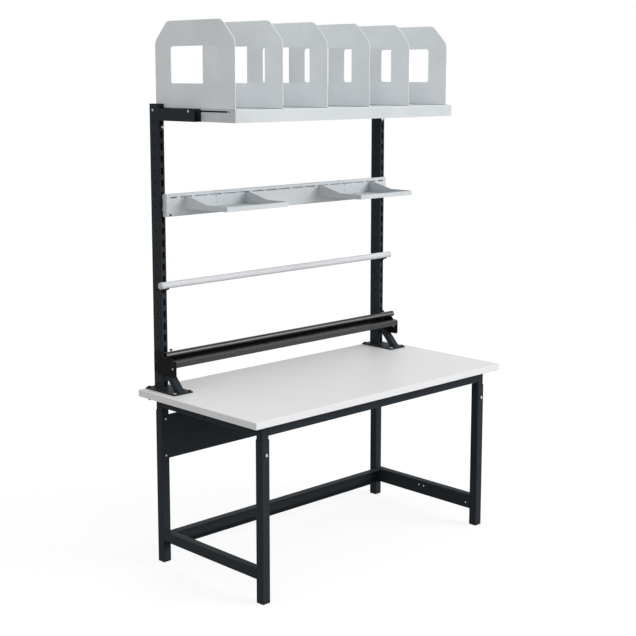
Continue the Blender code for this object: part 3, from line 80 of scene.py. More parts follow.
# Fastener details, as shares of a head's or shank's own size
HEX_CORNER_CUT = 0.10
HEX_RIM_CUT = 0.035
WASHER_EASE = 0.25
SOCKET_MOUTH = 1.12
SOCKET_SINK = 0.2
HEAD_DOME = 0.7
HEAD_SOCKET_DEPTH = 0.55
SHANK_SHARE = 0.3
SHANK_CHAMFER = 0.2
PLATE_NUT_SHARE = 1.2

# Small screws in the cutting rail's face, as shares of the other screws' heads and of their own radius
FACE_SCREW_SHARE = 0.5
FACE_SCREW_HEIGHT = 0.5
FACE_SCREW_SOCKET = 0.7
FACE_SCREW_DEPTH = 0.3

# Turned ends of the pressure bar, as shares of its radius
BAR_EASE = 0.08
BAR_BORE = 0.86
BAR_BORE_DEPTH = 0.9

# Spindle tube and its end caps
SPINDLE_WALL = 0.0020
SPINDLE_EASE = 0.0004
CAP_GAP = 0.0003
CAP_ROUND = 0.0040
CAP_DIMPLE = 0.0030

# Studs behind the pressure bar
STUD_NUT_DROP = 0.004
STUD_CAP_SINK = 0.001
STUD_CHAMFER = 0.1
STUD_SPACER = 1.5
STUD_CAP_WIDTH = 1.25
STUD_CAP_HEIGHT = 1.4

# Weld beads
WELD_CROWN = 0.60
WELD_RIPPLE = 1.07
WELD_STEP = 1.5
WELD_END = 0.005
SEAM_RADIUS = 0.0010
SEAM_CHAMFER = 0.3

# Range that a noise value mostly keeps to
NOISE_LOW = 0.3
NOISE_HIGH = 0.7

# Sockets of a colour mix node
MIX_FACTOR = 0
MIX_FIRST = 6
MIX_SECOND = 7
MIX_RESULT = 2

# Directions of brushing: how fast the lines change along X, Y and Z
BAR_LINES = (5.0, 700.0, 700.0)
RAIL_LINES = (8.0, 900.0, 900.0)
BOLT_LINES = (300.0, 300.0, 900.0)

# Lamps: name, setting of the strength, direction the light comes from, and angle in degrees
LAMPS = (
    ("key_light", "key_strength", (0.50, -0.75, 0.43), 34.0),
    ("front_light", "front_strength", (0.70, -0.70, 0.10), 40.0),
    ("high_light", "high_strength", (0.20, -0.35, 0.91), 60.0),
    ("fill_light", "fill_strength", (-0.85, -0.30, 0.42), 60.0),
)
LAMP_REACH = 5.0
FLOOR_WHITE = 1.03

CAMERA_PLACE = (-3.9641, -4.0095, 2.0862)
CAMERA_TILT = math.radians(81.158)
CAMERA_HEADING = math.radians(-44.002)
CAMERA_LENS = 73.934
CAMERA_SENSOR = 36.0
CAMERA_SHIFT = (0.0098, -0.065)


def node_box(node):
    """Lowest and highest corner of a frame node."""
    low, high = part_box(node)
    return Vector(low), Vector(high)


def node_middle(node):
    """Middle of a frame node's box."""
    low, high = node_box(node)
    return (low + high) / 2


def reach_x(node):
    """Nearest and farthest distance of a frame node from the bench's middle, along X."""
    low, high = node_box(node)
    return sorted((abs(low.x), abs(high.x)))


def round_bar(node):
    """Radius, half length and middle of a round frame node that lies along X."""
    low, high = node_box(node)
    return (high.z - low.z) / 2, (high.x - low.x) / 2, (low + high) / 2


def nodes_with_slot(slot):
    """Frame nodes whose record names this material slot."""
    return [row["node"] for row in frame["record"]["subparts"] if row["material_slot"] == slot]


def dress(nodes, material):
    """Give frame nodes a finish through their objects' material slots."""
    for name in nodes:
        item = frame["nodes"][name]
        if not item.material_slots:
            item.data.materials.append(material)
        for slot in item.material_slots:
            slot.material = material


def facing(direction, spot):
    """Matrix that stands local +Z along a direction at a spot."""
    turn = Vector(direction).to_track_quat("Z", "Y").to_matrix().to_4x4()
    return Matrix.Translation(spot) @ turn


def fresh(bm, before):
    """Vertices that a step added to a bmesh."""
    return [vert for vert in bm.verts if vert not in before]


def made_items(made, kind):
    """Items of one kind among those that a step made."""
    return [item for item in made if isinstance(item, kind)]


def settle_shell(bm, before, place):
    """Close the seams of a new shell, turn its faces outwards and put it in place."""
    bmesh.ops.remove_doubles(bm, verts=fresh(bm, before), dist=MERGE_DISTANCE)
    verts = fresh(bm, before)
    bmesh.ops.transform(bm, matrix=place, verts=verts)
    faces = [face for face in bm.faces if face.verts[0] not in before]
    bmesh.ops.recalc_face_normals(bm, faces=faces)


def turned(bm, profile, steps):
    """Spin a profile of (radius, height) points round local Z."""
    row = [bm.verts.new((radius, 0.0, height)) for radius, height in profile]
    edges = [bm.edges.new(pair) for pair in zip(row, row[1:])]
    bmesh.ops.spin(bm, geom=row + edges, cent=(0, 0, 0), axis=(0, 0, 1), dvec=(0, 0, 0),
                   angle=2 * math.pi, steps=steps, use_merge=True, use_duplicate=False)


def spun(bm, profile, steps, place):
    """Turned shell in its place."""
    before = set(bm.verts)
    turned(bm, profile, steps)
    settle_shell(bm, before, place)


def quarter_round(radius, top, reach, rise, steps):
    """Profile points of a rounded rim that turns in by a reach and up by a rise to a top."""
    turns = [step / steps * math.pi / 2 for step in range(steps + 1)]
    return [(radius - reach * (1 - math.cos(turn)), top - rise * (1 - math.sin(turn)))
            for turn in turns]


def raised(bm, faces, height):
    """Extrude faces along local +Z and return the new top faces."""
    made = bmesh.ops.extrude_face_region(bm, geom=faces)["geom"]
    bmesh.ops.translate(bm, vec=(0, 0, height), verts=made_items(made, bmesh.types.BMVert))
    return made_items(made, bmesh.types.BMFace)


def chamfered(bm, geom, width, affect):
    """Flat bevel of corners or edges."""
    bmesh.ops.bevel(bm, geom=geom, offset=width, offset_type="OFFSET", affect=affect, segments=1,
                    profile=0.5, material=-1, clamp_overlap=True)


def corner_radius(across):
    """Radius over the corners of a hexagon."""
    return across / 2 / math.cos(math.pi / HEX_SIDES)


def hexagon_head(bm, across, height, place):
    """Hexagon head or nut with chamfered corners, standing on local zero."""
    before = set(bm.verts)
    made = bmesh.ops.create_circle(bm, cap_ends=True, segments=HEX_SIDES,
                                   radius=corner_radius(across))["verts"]
    top = raised(bm, list(made[0].link_faces), height)
    corners = [vert for face in top for vert in face.verts]
    chamfered(bm, corners, across * HEX_CORNER_CUT, "VERTICES")
    rim = [edge for edge in bm.edges
           if edge.verts[0] not in before and edge.verts[0].co.z > height - MERGE_DISTANCE
           and edge.verts[1].co.z > height - MERGE_DISTANCE]
    chamfered(bm, rim, across * HEX_RIM_CUT, "EDGES")
    settle_shell(bm, before, place)


def washer(bm, radius, hole, thickness, place):
    """Flat ring with eased rims, standing on local zero."""
    ease = thickness * WASHER_EASE
    profile = [(hole, 0.0), (radius, 0.0), (radius, thickness - ease), (radius - ease, thickness),
               (hole + ease, thickness), (hole, thickness - ease), (hole, 0.0)]
    spun(bm, profile, ROUND_STEPS, place)


def rod(bm, radius, start, end, chamfer, place):
    """Solid turned rod with chamfered ends, along local Z."""
    profile = [(0.0, start), (radius - chamfer, start), (radius, start + chamfer),
               (radius, end - chamfer), (radius - chamfer, end), (0.0, end)]
    spun(bm, profile, ROD_STEPS, place)


def socket_head(bm, radius, height, socket, depth, dome, place):
    """Round screw head with a hexagon socket, standing on local zero."""
    before = set(bm.verts)
    socket_radius = corner_radius(socket)
    dome_reach = radius - socket_radius * SOCKET_MOUTH
    rounded = quarter_round(radius, height, dome_reach, dome, DOME_STEPS)
    turned(bm, [(0.0, 0.0), (radius, 0.0)] + rounded, ROUND_STEPS)
    bmesh.ops.remove_doubles(bm, verts=fresh(bm, before), dist=MERGE_DISTANCE)
    rim = [edge for edge in bm.edges if edge.verts[0] not in before and edge.is_boundary]
    sunk = Matrix.Translation((0, 0, height - dome * SOCKET_SINK))
    hexagon = bmesh.ops.create_circle(bm, cap_ends=False, segments=HEX_SIDES, radius=socket_radius,
                                      matrix=sunk)["verts"]
    ring = [edge for edge in bm.edges if edge.verts[0] in hexagon]
    bmesh.ops.bridge_loops(bm, edges=rim + ring)
    made = bmesh.ops.extrude_edge_only(bm, edges=ring)["geom"]
    bmesh.ops.translate(bm, vec=(0, 0, -depth), verts=made_items(made, bmesh.types.BMVert))
    bmesh.ops.contextual_create(bm, geom=made_items(made, bmesh.types.BMEdge))
    settle_shell(bm, before, place)


def angle_strip(bm, width, drop, sheet, reach, place):
    """Sheet angle below local zero: a flange along -X and a web down, both ways along Y."""
    before = set(bm.verts)
    row = [bm.verts.new(spot) for spot in (
        (0.0, -reach, 0.0), (0.0, -reach, -drop), (-sheet, -reach, -drop),
        (-sheet, -reach, -sheet), (-width, -reach, -sheet), (-width, -reach, 0.0))]
    made = bmesh.ops.extrude_face_region(bm, geom=[bm.faces.new(row)])["geom"]
    bmesh.ops.translate(bm, vec=(0, 2 * reach, 0), verts=made_items(made, bmesh.types.BMVert))
    settle_shell(bm, before, place)


def weld(bm, leg, length, place):
    """Fillet weld with ripples, in the corner of local X and Z, along local Y from zero."""
    before = set(bm.verts)
    start = [bm.verts.new(spot) for spot in (
        (0.0, 0.0, 0.0), (leg, 0.0, 0.0), (leg * WELD_CROWN, 0.0, leg * WELD_CROWN), (0.0, 0.0, leg))]
    face = bm.faces.new(start)
    count = 2 * max(2, round(length / leg / WELD_STEP))
    for step in range(count):
        made = bmesh.ops.extrude_face_region(bm, geom=[face])["geom"]
        verts = made_items(made, bmesh.types.BMVert)
        face = made_items(made, bmesh.types.BMFace)[0]
        size = WELD_RIPPLE if step % 2 == 0 else 1 / WELD_RIPPLE
        bmesh.ops.scale(bm, vec=(size, 1.0, size), verts=verts)
        bmesh.ops.translate(bm, vec=(0.0, length / count, 0.0), verts=verts)
    settle_shell(bm, before, place)


def corner_frame(spot, out_x, along_y):
    """Matrix that puts local X and Y along two level directions at a spot, with Z up."""
    turn = Matrix((out_x, along_y, (0, 0, 1))).transposed().to_4x4()
    return Matrix.Translation(spot) @ turn


def piece(name, bm, finish, body, replaced=()):
    """Turn a bmesh in bench coordinates into a piece that rides a body."""
    for face in bm.faces:
        face.smooth = True
    for edge in bm.edges:
        if len(edge.link_faces) == 2 and edge.calc_face_angle(0.0) > SMOOTH_ANGLE:
            edge.smooth = False
    mesh = bpy.data.meshes.new(name)
    bm.to_mesh(mesh)
    bm.free()
    mesh.materials.append(finish_material(finish))
    item = bpy.data.objects.new(name, mesh)
    bpy.context.scene.collection.objects.link(item)
    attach(item, body)
    if replaced:
        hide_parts(*replaced)


def grey(level):
    """Grey of one level."""
    return (level, level, level, 1.0)


def blank_material(name):
    """New node material and its node tree."""
    old = bpy.data.materials.get(name)
    if old:
        bpy.data.materials.remove(old)
    material = bpy.data.materials.new(name)
    material.use_nodes = True
    return material, material.node_tree


def add(tree, kind, links=None, **values):
    """New node with its settings, its socket values and its incoming links."""
    node = tree.nodes.new(kind)
    for key, value in values.items():
        if hasattr(node, key):
            setattr(node, key, value)
        else:
            node.inputs[key.replace("_", " ").title()].default_value = value
    for key, socket in (links or {}).items():
        tree.links.new(socket, node.inputs[key])
    return node


def object_place(tree, scale=(1.0, 1.0, 1.0)):
    """Object coordinates, stretched where a pattern has a direction."""
    place = add(tree, "ShaderNodeTexCoord").outputs["Object"]
    return add(tree, "ShaderNodeMapping", {"Vector": place}, scale=scale).outputs["Vector"]


def noise(tree, place, scale, detail=2.0, roughness=0.5):
    """Noise value between about 0.3 and 0.7."""
    return add(tree, "ShaderNodeTexNoise", {"Vector": place}, scale=scale, detail=detail,
               roughness=roughness).outputs["Fac"]


def spread(tree, value, low, high, start=NOISE_LOW, finish=NOISE_HIGH):
    """Map a value, a noise by default, to a range."""
    return add(tree, "ShaderNodeMapRange", {"Value": value}, from_min=start, from_max=finish,
               to_min=low, to_max=high).outputs["Result"]


def around(tree, value, middle, reach):
    """Map a noise value to a range round a middle."""
    return spread(tree, value, middle - reach, middle + reach)


def tinted(tree, colour, value, change):
    """Colour that grows lighter and darker by a share with a noise value."""
    node = add(tree, "ShaderNodeMix", {MIX_FACTOR: spread(tree, value, 0.0, 1.0)}, data_type="RGBA",
               blend_type="MIX")
    dark = [part * (1 - change) for part in colour[:3]]
    light = [min(part * (1 + change), 1.0) for part in colour[:3]]
    node.inputs[MIX_FIRST].default_value = (*dark, 1.0)
    node.inputs[MIX_SECOND].default_value = (*light, 1.0)
    return node.outputs[MIX_RESULT]


def bumped(tree, height, strength, distance, ease):
    """Bump from a height value, over sharp folds that a radius rounds."""
    rounded = add(tree, "ShaderNodeBevel", samples=4, radius=ease).outputs["Normal"]
    return add(tree, "ShaderNodeBump", {"Height": height, "Normal": rounded}, strength=strength,
               distance=distance).outputs["Normal"]


def joined(material, colour, roughness, specular, relief, metallic=0.0):
    """Join colour, roughness and relief to a material's shader."""
    tree = material.node_tree
    shader = tree.nodes["Principled BSDF"]
    tree.links.new(colour, shader.inputs["Base Color"])
    tree.links.new(roughness, shader.inputs["Roughness"])
    tree.links.new(relief, shader.inputs["Normal"])
    shader.inputs["Specular IOR Level"].default_value = specular
    shader.inputs["Metallic"].default_value = metallic
    return material


def powder_coat(name, colour, roughness, specular, peel, ease):
    """Sprayed powder coat: orange peel, faint tint drift and rounded folds."""
    material, tree = blank_material(name)
    place = object_place(tree)
    drift = noise(tree, place, scale=5.0, detail=4.0, roughness=0.55)
    cloud = noise(tree, place, scale=60.0, detail=3.0)
    skin = noise(tree, place, scale=700.0)
    return joined(material, tinted(tree, colour, drift, change=0.05),
                  around(tree, cloud, roughness, reach=0.05), specular,
                  bumped(tree, skin, strength=0.5, distance=peel, ease=ease))


def laminate(name, colour, roughness, specular):
    """Fine-textured pale laminate with a faint speckle."""
    material, tree = blank_material(name)
    place = object_place(tree)
    speckle = noise(tree, place, scale=900.0, detail=3.0, roughness=0.7)
    drift = noise(tree, place, scale=3.0, detail=3.0)
    grain = noise(tree, place, scale=400.0, detail=4.0, roughness=0.6)
    base = tinted(tree, colour, speckle, change=0.02)
    veil = tinted(tree, grey(0.985), drift, change=0.012)
    shade = add(tree, "ShaderNodeMix", {MIX_FIRST: base, MIX_SECOND: veil}, data_type="RGBA",
                blend_type="MULTIPLY")
    shade.inputs[MIX_FACTOR].default_value = 1.0
    return joined(material, shade.outputs[MIX_RESULT], around(tree, grain, roughness, reach=0.06),
                  specular, bumped(tree, grain, strength=0.35, distance=0.00005, ease=0.0012))


def brushed_metal(name, colour, roughness, specular, along, metallic=0.0, depth=0.00002):
    """Metal with fine lines along one direction."""
    material, tree = blank_material(name)
    lines = noise(tree, object_place(tree, along), scale=1.0, detail=3.0, roughness=0.6)
    drift = noise(tree, object_place(tree), scale=30.0, detail=3.0)
    return joined(material, tinted(tree, colour, lines, change=0.12),
                  spread(tree, drift, low=roughness - 0.06, high=roughness + 0.08), specular,
                  bumped(tree, lines, strength=0.25, distance=depth, ease=0.0006), metallic)


def moulded_plastic(name, colour, roughness, specular):
    """Moulded plastic with a fine spark-eroded grain."""
    material, tree = blank_material(name)
    place = object_place(tree)
    grain = noise(tree, place, scale=1400.0)
    drift = noise(tree, place, scale=25.0)
    return joined(material, tinted(tree, colour, drift, change=0.06),
                  around(tree, grain, roughness, reach=0.05), specular,
                  bumped(tree, grain, strength=0.5, distance=0.00004, ease=0.0008))


def colour_value(label, words, value):
    """Colour property."""
    return bpy.props.FloatVectorProperty(name=label, description=words, subtype="COLOR", size=3,
                                         min=0.0, max=1.0, default=value)


def length_value(label, words, value):
    """Length property in metres."""
    return bpy.props.FloatProperty(name=label, description=words, subtype="DISTANCE", unit="LENGTH",
                                   min=0.0, default=value, precision=4)


def plain_value(label, words, value, high=1.0):
    """Plain number property."""
    return bpy.props.FloatProperty(name=label, description=words, min=0.0, max=high, default=value,
                                   precision=3)


class WorkbenchFinish(bpy.types.PropertyGroup):
    """Colours and gloss of the bench"""
    frame_colour: colour_value("Frame colour", "Dark powder coat of legs, rails and uprights",
                               (0.0245, 0.0300, 0.0352))
    pale_colour: colour_value("Pale colour", "Light grey powder coat of shelf, tray rail and trays",
                              (0.60, 0.63, 0.65))
    # Painted light: the dividers' colour is a lighter copy of the pale coat, standing for the stronger light
    # that falls on them
    divider_lit_colour: colour_value("Divider colour", "Pale coat of the dividers, lightened as painted light", (0.78, 0.81, 0.825))
    tube_colour: colour_value("Spindle colour", "Pale coat of the roll spindle", (0.60, 0.61, 0.63))
    worktop_colour: colour_value("Worktop colour", "Laminate of the tabletop", (0.76, 0.76, 0.765))
    # The cutter's black coat also colours the strips behind the shelf's depth slots, as painted shade
    cutter_and_slot_shade_colour: colour_value("Cutter colour", "Black coat of the cutter's plates",
                                (0.008, 0.008, 0.009))
    bar_colour: colour_value("Bar colour", "Blackened steel of the pressure bar", (0.006, 0.006, 0.007))
    rail_colour: colour_value("Cutting rail colour", "Grey metal of the cutting rail",
                              (0.028, 0.028, 0.029))
    cap_colour: colour_value("Black plastic colour", "Feet and caps", (0.0125, 0.0130, 0.0135))
    grey_cap_colour: colour_value("Grey plastic colour", "End caps of the spindle", (0.50, 0.51, 0.52))
    zinc_colour: colour_value("Zinc colour", "Plated bolts, screws and washers", (0.40, 0.405, 0.42))
    # This black also colours the nuts, washers and bolt tails under the tabletop, as painted shade
    oxide_and_shade_colour: colour_value("Black oxide colour", "Blackened screws and nuts", (0.012, 0.012, 0.013))
    coat_roughness: plain_value("Coat roughness", "Roughness of the powder coats", 0.48)
    coat_specular: plain_value("Coat specular", "Strength of the powder coats' shine", 0.035)
    peel_depth: length_value("Orange peel", "Depth of the powder coat's orange peel", 0.00005)
    fold_ease: length_value("Fold radius", "Radius that softens sharp folds in the light", 0.0010)


class WorkbenchFasteners(bpy.types.PropertyGroup):
    """Sizes of the small fasteners"""
    plate_bolt_across: length_value("Plate bolt width", "Hexagon of the base plates' bolts", 0.013)
    plate_bolt_height: length_value("Plate bolt height", "Head height of the base plates' bolts", 0.0053)
    washer_radius: length_value("Washer radius", "Washers under the base plates' nuts", 0.008)
    washer_thickness: length_value("Washer thickness", "Thickness of the washers", 0.0015)
    screw_radius: length_value("Screw head radius", "Round heads of the M5 screws", 0.0047)
    screw_height: length_value("Screw head height", "Height of the M5 screws' heads", 0.0028)
    screw_socket: length_value("Socket width", "Hexagon socket of the M5 screws", 0.003)
    flush_head_radius: length_value("Flush head radius", "Flush heads in the shelf's ends", 0.0034)
    bolt_tail: length_value("Bolt tail", "Thread below the base plates' nuts", 0.015)
    small_nut_across: length_value("Small nut width", "Hexagon of the M5 and M6 nuts", 0.009)
    small_nut_height: length_value("Small nut height", "Height of the M5 and M6 nuts", 0.004)
    stud_radius: length_value("Stud radius", "Studs behind the pressure bar", 0.003)
    weld_leg: length_value("Weld leg", "Leg of the fillet welds", 0.0028)


class WorkbenchPlaces(bpy.types.PropertyGroup):
    """Places of the fasteners, measured from the pieces that carry them"""
    plate_bolt_inset: length_value("Plate bolt inset", "From the base plate's edges", 0.012)
    panel_screw_inset: length_value("Panel screw inset", "From the rear panel's edges", 0.015)
    rail_bolt_drop: length_value("Rail bolt drop", "Upper bolt below the side rail's top", 0.015)
    rail_bolt_pitch: length_value("Rail bolt pitch", "Between the two bolts of a joint", 0.025)
    rail_bolt_inset: length_value("Rail bolt inset", "From the rear leg's front face", 0.022)
    rail_mid_reach: length_value("Middle screw reach", "From the side rail's middle", 0.0147)
    rail_mid_drop: length_value("Middle screw drop", "Below the side rail's top", 0.020)
    top_screw_pitch: length_value("Tabletop screw pitch", "Between the screws from below", 0.500)
    hang_screw_inset: length_value("Tray rail screw inset", "From the tray rail's ends", 0.0162)
    hang_screw_raise: length_value("Tray rail screw height", "Above the tray rail's lower edge", 0.0077)
    cut_screw_inset: length_value("Cutter screw inset", "Behind the cutting rail's face", 0.020)
    cut_screw_drop: length_value("Cutter screw drop", "Below the cutting rail's top", 0.010)
    cut_screw_pitch: length_value("Cutter screw pitch", "Between the two screws of a plate", 0.0225)
    face_screw_inset: length_value("Face screw inset", "From the end of the cutting rail", 0.019)
    face_screw_pitch: length_value("Face screw pitch", "Between the screws in the rail's face", 0.022)
    face_screw_drop: length_value("Face screw drop", "Below the cutting rail's top", 0.0115)
    cut_mount_low: length_value("Cutter bolt height", "Lower bolt above the side plate's bottom", 0.007)
    cut_mount_pitch: length_value("Cutter bolt pitch", "Between the bolts into an upright", 0.050)
    stud_inset: length_value("Stud inset", "From the end of the cutting rail", 0.027)
    stud_room: length_value("Stud clearance", "Between the pressure bar and a stud", 0.0015)
    foot_screw_reach: length_value("Divider screw reach", "From the middle of a divider", 0.170)
    foot_screw_inset: length_value("Divider screw inset", "From the edge of a divider's foot", 0.0075)
    arm_screw_drop: length_value("Arm screw drop", "Below the shelf arm", 0.026)
    arm_screw_shift: length_value("Arm screw shift", "From the upright's middle", 0.0045)
    # The strips behind the shelf ends' depth slots are black sheets: painted shade standing for the shadow
    # inside the shelf
    shade_strip_room: length_value("Shade strip clearance", "Between a shelf end and its slot shade strip", 0.0095)
    shade_strip_width: length_value("Shade strip flange", "Flange of a slot shade strip", 0.008)
    shade_strip_drop: length_value("Shade strip height", "Web of a slot shade strip", 0.032)
    shade_strip_reach: length_value("Shade strip reach", "Half length of a slot shade strip", 0.125)
    shade_strip_sheet: length_value("Shade strip sheet", "Sheet of the slot guards", 0.0012)
    slot_inset: length_value("Slot place", "Middle of the depth slot behind the shelf's front", 0.150)
    end_screw_inset: length_value("End screw inset", "Behind the shelf's front", 0.034)
    end_screw_drop: length_value("End screw drop", "Below the shelf's top", 0.008)


class WorkbenchStage(bpy.types.PropertyGroup):
    """Studio round the bench"""
    floor_side: length_value("Floor side", "Side of the square floor", 24.0)
    key_strength: plain_value("Key strength", "Soft light from the front right", 1.6, high=20.0)
    front_strength: plain_value("Front strength", "Low light from the right front", 0.95, high=20.0)
    high_strength: plain_value("High strength", "Wide light from above", 0.4, high=20.0)
    fill_strength: plain_value("Fill strength", "Wide light from the left", 0.35, high=20.0)
    ambient: plain_value("Ambient", "Even light from all round", 0.6, high=5.0)
    floor_bounce: plain_value("Floor bounce", "Share of the light that the floor returns", 0.3)
    floor_share: plain_value("Shadow share", "How much of the floor's shadow shows", 0.2)


def finish_settings(context):
    """The bench's colours and gloss."""
    return context.scene.workbench_finish


def coat(context, name, colour):
    """Powder coat in one of the bench's colours."""
    finish = finish_settings(context)
    return powder_coat(name, colour, finish.coat_roughness, finish.coat_specular, finish.peel_depth,
                       finish.fold_ease)


def finish_material(name):
    """A finish that an earlier step made."""
    material = bpy.data.materials.get(name)
    if material is None:
        raise RuntimeError("the finish " + name + " is missing: run the finishes first")
    return material


class WORKBENCH_OT_frame_finish(bpy.types.Operator):
    """Coats legs, rails, beams, panel and uprights"""
    bl_idname = "workbench.frame_finish"
    bl_label = "Coat the frame"

    def execute(self, context):
        finish = finish_settings(context)
        dress(nodes_with_slot("anthracite"), coat(context, "anthracite_coat", finish.frame_colour))
        dress(nodes_with_slot("black_plastic"),
              moulded_plastic("black_plastic", finish.cap_colour, roughness=0.55, specular=0.12))
        return {"FINISHED"}


class WORKBENCH_OT_pale_finish(bpy.types.Operator):
    """Coats shelf, dividers, tray rail, trays and spindle"""
    bl_idname = "workbench.pale_finish"
    bl_label = "Coat the pale sheets"

    def execute(self, context):
        finish = finish_settings(context)
        dress(nodes_with_slot("light_grey"), coat(context, "light_grey_coat", finish.pale_colour))
        dividers = [name for name in frame["nodes"] if name.startswith("divider_")]
        # Painted light: the dividers take a lighter copy of the pale coat, standing for the stronger light
        # that falls on them
        dress(dividers, coat(context, "divider_coat", finish.divider_lit_colour))
        dress(nodes_with_slot("pale_tube"), coat(context, "pale_tube_coat", finish.tube_colour))
        dress(nodes_with_slot("grey_plastic"),
              moulded_plastic("grey_plastic", finish.grey_cap_colour, roughness=0.5, specular=0.3))
        return {"FINISHED"}


class WORKBENCH_OT_worktop_finish(bpy.types.Operator):
    """Covers the tabletop in laminate"""
    bl_idname = "workbench.worktop_finish"
    bl_label = "Laminate the tabletop"

    def execute(self, context):
        finish = finish_settings(context)
        dress(nodes_with_slot("laminate"),
              laminate("pale_laminate", finish.worktop_colour, roughness=0.45, specular=0.35))
        return {"FINISHED"}


class WORKBENCH_OT_cutter_finish(bpy.types.Operator):
    """Finishes the cutter's plates, bar and rail"""
    bl_idname = "workbench.cutter_finish"
    bl_label = "Finish the cutter"

    def execute(self, context):
        finish = finish_settings(context)
        dress(nodes_with_slot("black_paint"), coat(context, "black_coat", finish.cutter_and_slot_shade_colour))
        dress(nodes_with_slot("black_steel"),
              brushed_metal("black_steel", finish.bar_colour, roughness=0.26, specular=0.5,
                            along=BAR_LINES, depth=0.000004))
        dress(nodes_with_slot("rail_grey"),
              brushed_metal("rail_metal", finish.rail_colour, roughness=0.36, specular=0.22,
                            along=RAIL_LINES, depth=0.000006))
        return {"FINISHED"}


class WORKBENCH_OT_bolt_finish(bpy.types.Operator):
    """Plates and blackens bolts and screws"""
    bl_idname = "workbench.bolt_finish"
    bl_label = "Plate and blacken the bolts"

    def execute(self, context):
        finish = finish_settings(context)
        dress(nodes_with_slot("zinc"),
              brushed_metal("zinc_plate", finish.zinc_colour, roughness=0.32, specular=0.5,
                            along=BOLT_LINES, metallic=1.0))
        # Besides blackened screws, this dark finish serves as painted shade on the nuts under the tabletop
        brushed_metal("black_oxide", finish.oxide_and_shade_colour, roughness=0.45, specular=0.2, along=BOLT_LINES)
        return {"FINISHED"}


def round_screw(bm, context, direction, spot):
    """Round socket head screw that faces a direction at a spot."""
    sizes = context.scene.workbench_fasteners
    height = sizes.screw_height
    socket_head(bm, sizes.screw_radius, height, sizes.screw_socket, height * HEAD_SOCKET_DEPTH,
                height * HEAD_DOME, facing(direction, spot))


def small_nut(bm, context, direction, spot):
    """Small hexagon nut or head that faces a direction at a spot."""
    sizes = context.scene.workbench_fasteners
    hexagon_head(bm, sizes.small_nut_across, sizes.small_nut_height, facing(direction, spot))


class WORKBENCH_OT_pressure_bar(bpy.types.Operator):
    """Turns the round bar of the cutter"""
    bl_idname = "workbench.pressure_bar"
    bl_label = "Pressure bar"

    def execute(self, context):
        radius, half, middle = round_bar("pressure_bar")
        ease = radius * BAR_EASE
        bore = radius * BAR_BORE
        depth = radius * BAR_BORE_DEPTH
        profile = [(0.0, depth - half), (bore, depth - half), (bore, ease - half), (bore + ease, -half),
                   (radius - ease, -half), (radius, ease - half)]
        profile += [(across, -along) for across, along in reversed(profile)]
        bm = bmesh.new()
        spun(bm, profile, ROD_STEPS, facing((1, 0, 0), middle))
        piece("bar", bm, "black_steel", "roller", ["pressure_bar"])
        return {"FINISHED"}


class WORKBENCH_OT_spindle(bpy.types.Operator):
    """Turns the roll spindle and its two end caps"""
    bl_idname = "workbench.spindle"
    bl_label = "Roll spindle"

    def execute(self, context):
        radius, half, middle = round_bar("spindle_tube")
        ease = SPINDLE_EASE
        bore = radius - SPINDLE_WALL
        profile = [(bore, -half), (radius - ease, -half), (radius, ease - half), (radius, half - ease),
                   (radius - ease, half), (bore, half), (bore, -half)]
        bm = bmesh.new()
        spun(bm, profile, ROD_STEPS, facing((1, 0, 0), middle))
        piece("spindle_pipe", bm, "pale_tube_coat", "spindle", ["spindle_tube"])
        for side_name, side in SIDES:
            node = "spindle_cap_" + side_name
            near, far = reach_x(node)
            seat = half + CAP_GAP
            end = far - seat
            plug = seat - near
            inner = bore - CAP_GAP
            profile = [(0.0, -plug), (inner - ease, -plug), (inner, ease - plug), (inner, 0.0),
                       (radius, 0.0)]
            profile += quarter_round(radius, end, CAP_ROUND, CAP_ROUND, CAP_STEPS)
            profile += [(CAP_DIMPLE + ease, end), (CAP_DIMPLE, end - ease), (0.0, end - ease)]
            bm = bmesh.new()
            spot = middle + Vector((side * seat, 0.0, 0.0))
            spun(bm, profile, ROD_STEPS, facing((side, 0, 0), spot))
            piece("spindle_stopper_" + side_name, bm, "grey_plastic", "spindle", [node])
        return {"FINISHED"}


class WORKBENCH_OT_plate_bolts(bpy.types.Operator):
    """Bolts the base plates through the tabletop"""
    bl_idname = "workbench.plate_bolts"
    bl_label = "Base plate bolts"

    def execute(self, context):
        sizes = context.scene.workbench_fasteners
        inset = context.scene.workbench_places.plate_bolt_inset
        under = node_box("tabletop")[0].z
        shank = sizes.plate_bolt_across * SHANK_SHARE
        nut = sizes.plate_bolt_height * PLATE_NUT_SHARE
        for side_name, side in SIDES:
            low, high = node_box("base_plate_" + side_name)
            heads = bmesh.new()
            front = bmesh.new()
            nuts = bmesh.new()
            for x in (low.x + inset, high.x - inset):
                for y in (low.y + inset, high.y - inset):
                    # Painted highlight: the front left bolt of each plate takes bright zinc where the light
                    # catches its head, though the plate's bolts are all black
                    painted_highlight = y < (low.y + high.y) / 2 and x < (low.x + high.x) / 2
                    hexagon_head(front if painted_highlight else heads, sizes.plate_bolt_across,
                                 sizes.plate_bolt_height, facing((0, 0, 1), (x, y, high.z + SEAT)))
                    down = facing((0, 0, -1), (x, y, under - SEAT))
                    washer(nuts, sizes.washer_radius, shank, sizes.washer_thickness, down)
                    seat = under - 2 * SEAT - sizes.washer_thickness
                    hexagon_head(nuts, sizes.plate_bolt_across, nut, facing((0, 0, -1), (x, y, seat)))
                    rod(nuts, shank, 0.0, sizes.bolt_tail, shank * SHANK_CHAMFER,
                        facing((0, 0, -1), (x, y, seat - nut - SEAT)))
            piece("plate_bolts_" + side_name, heads, "black_oxide", "top")
            piece("plate_front_bolt_" + side_name, front, "zinc_plate", "top")
            # Painted shade: the nuts, washers and tails under the tabletop take the dark finish to stand for
            # the shade below the top
            piece("plate_nuts_" + side_name, nuts, "black_oxide", "top")
        return {"FINISHED"}


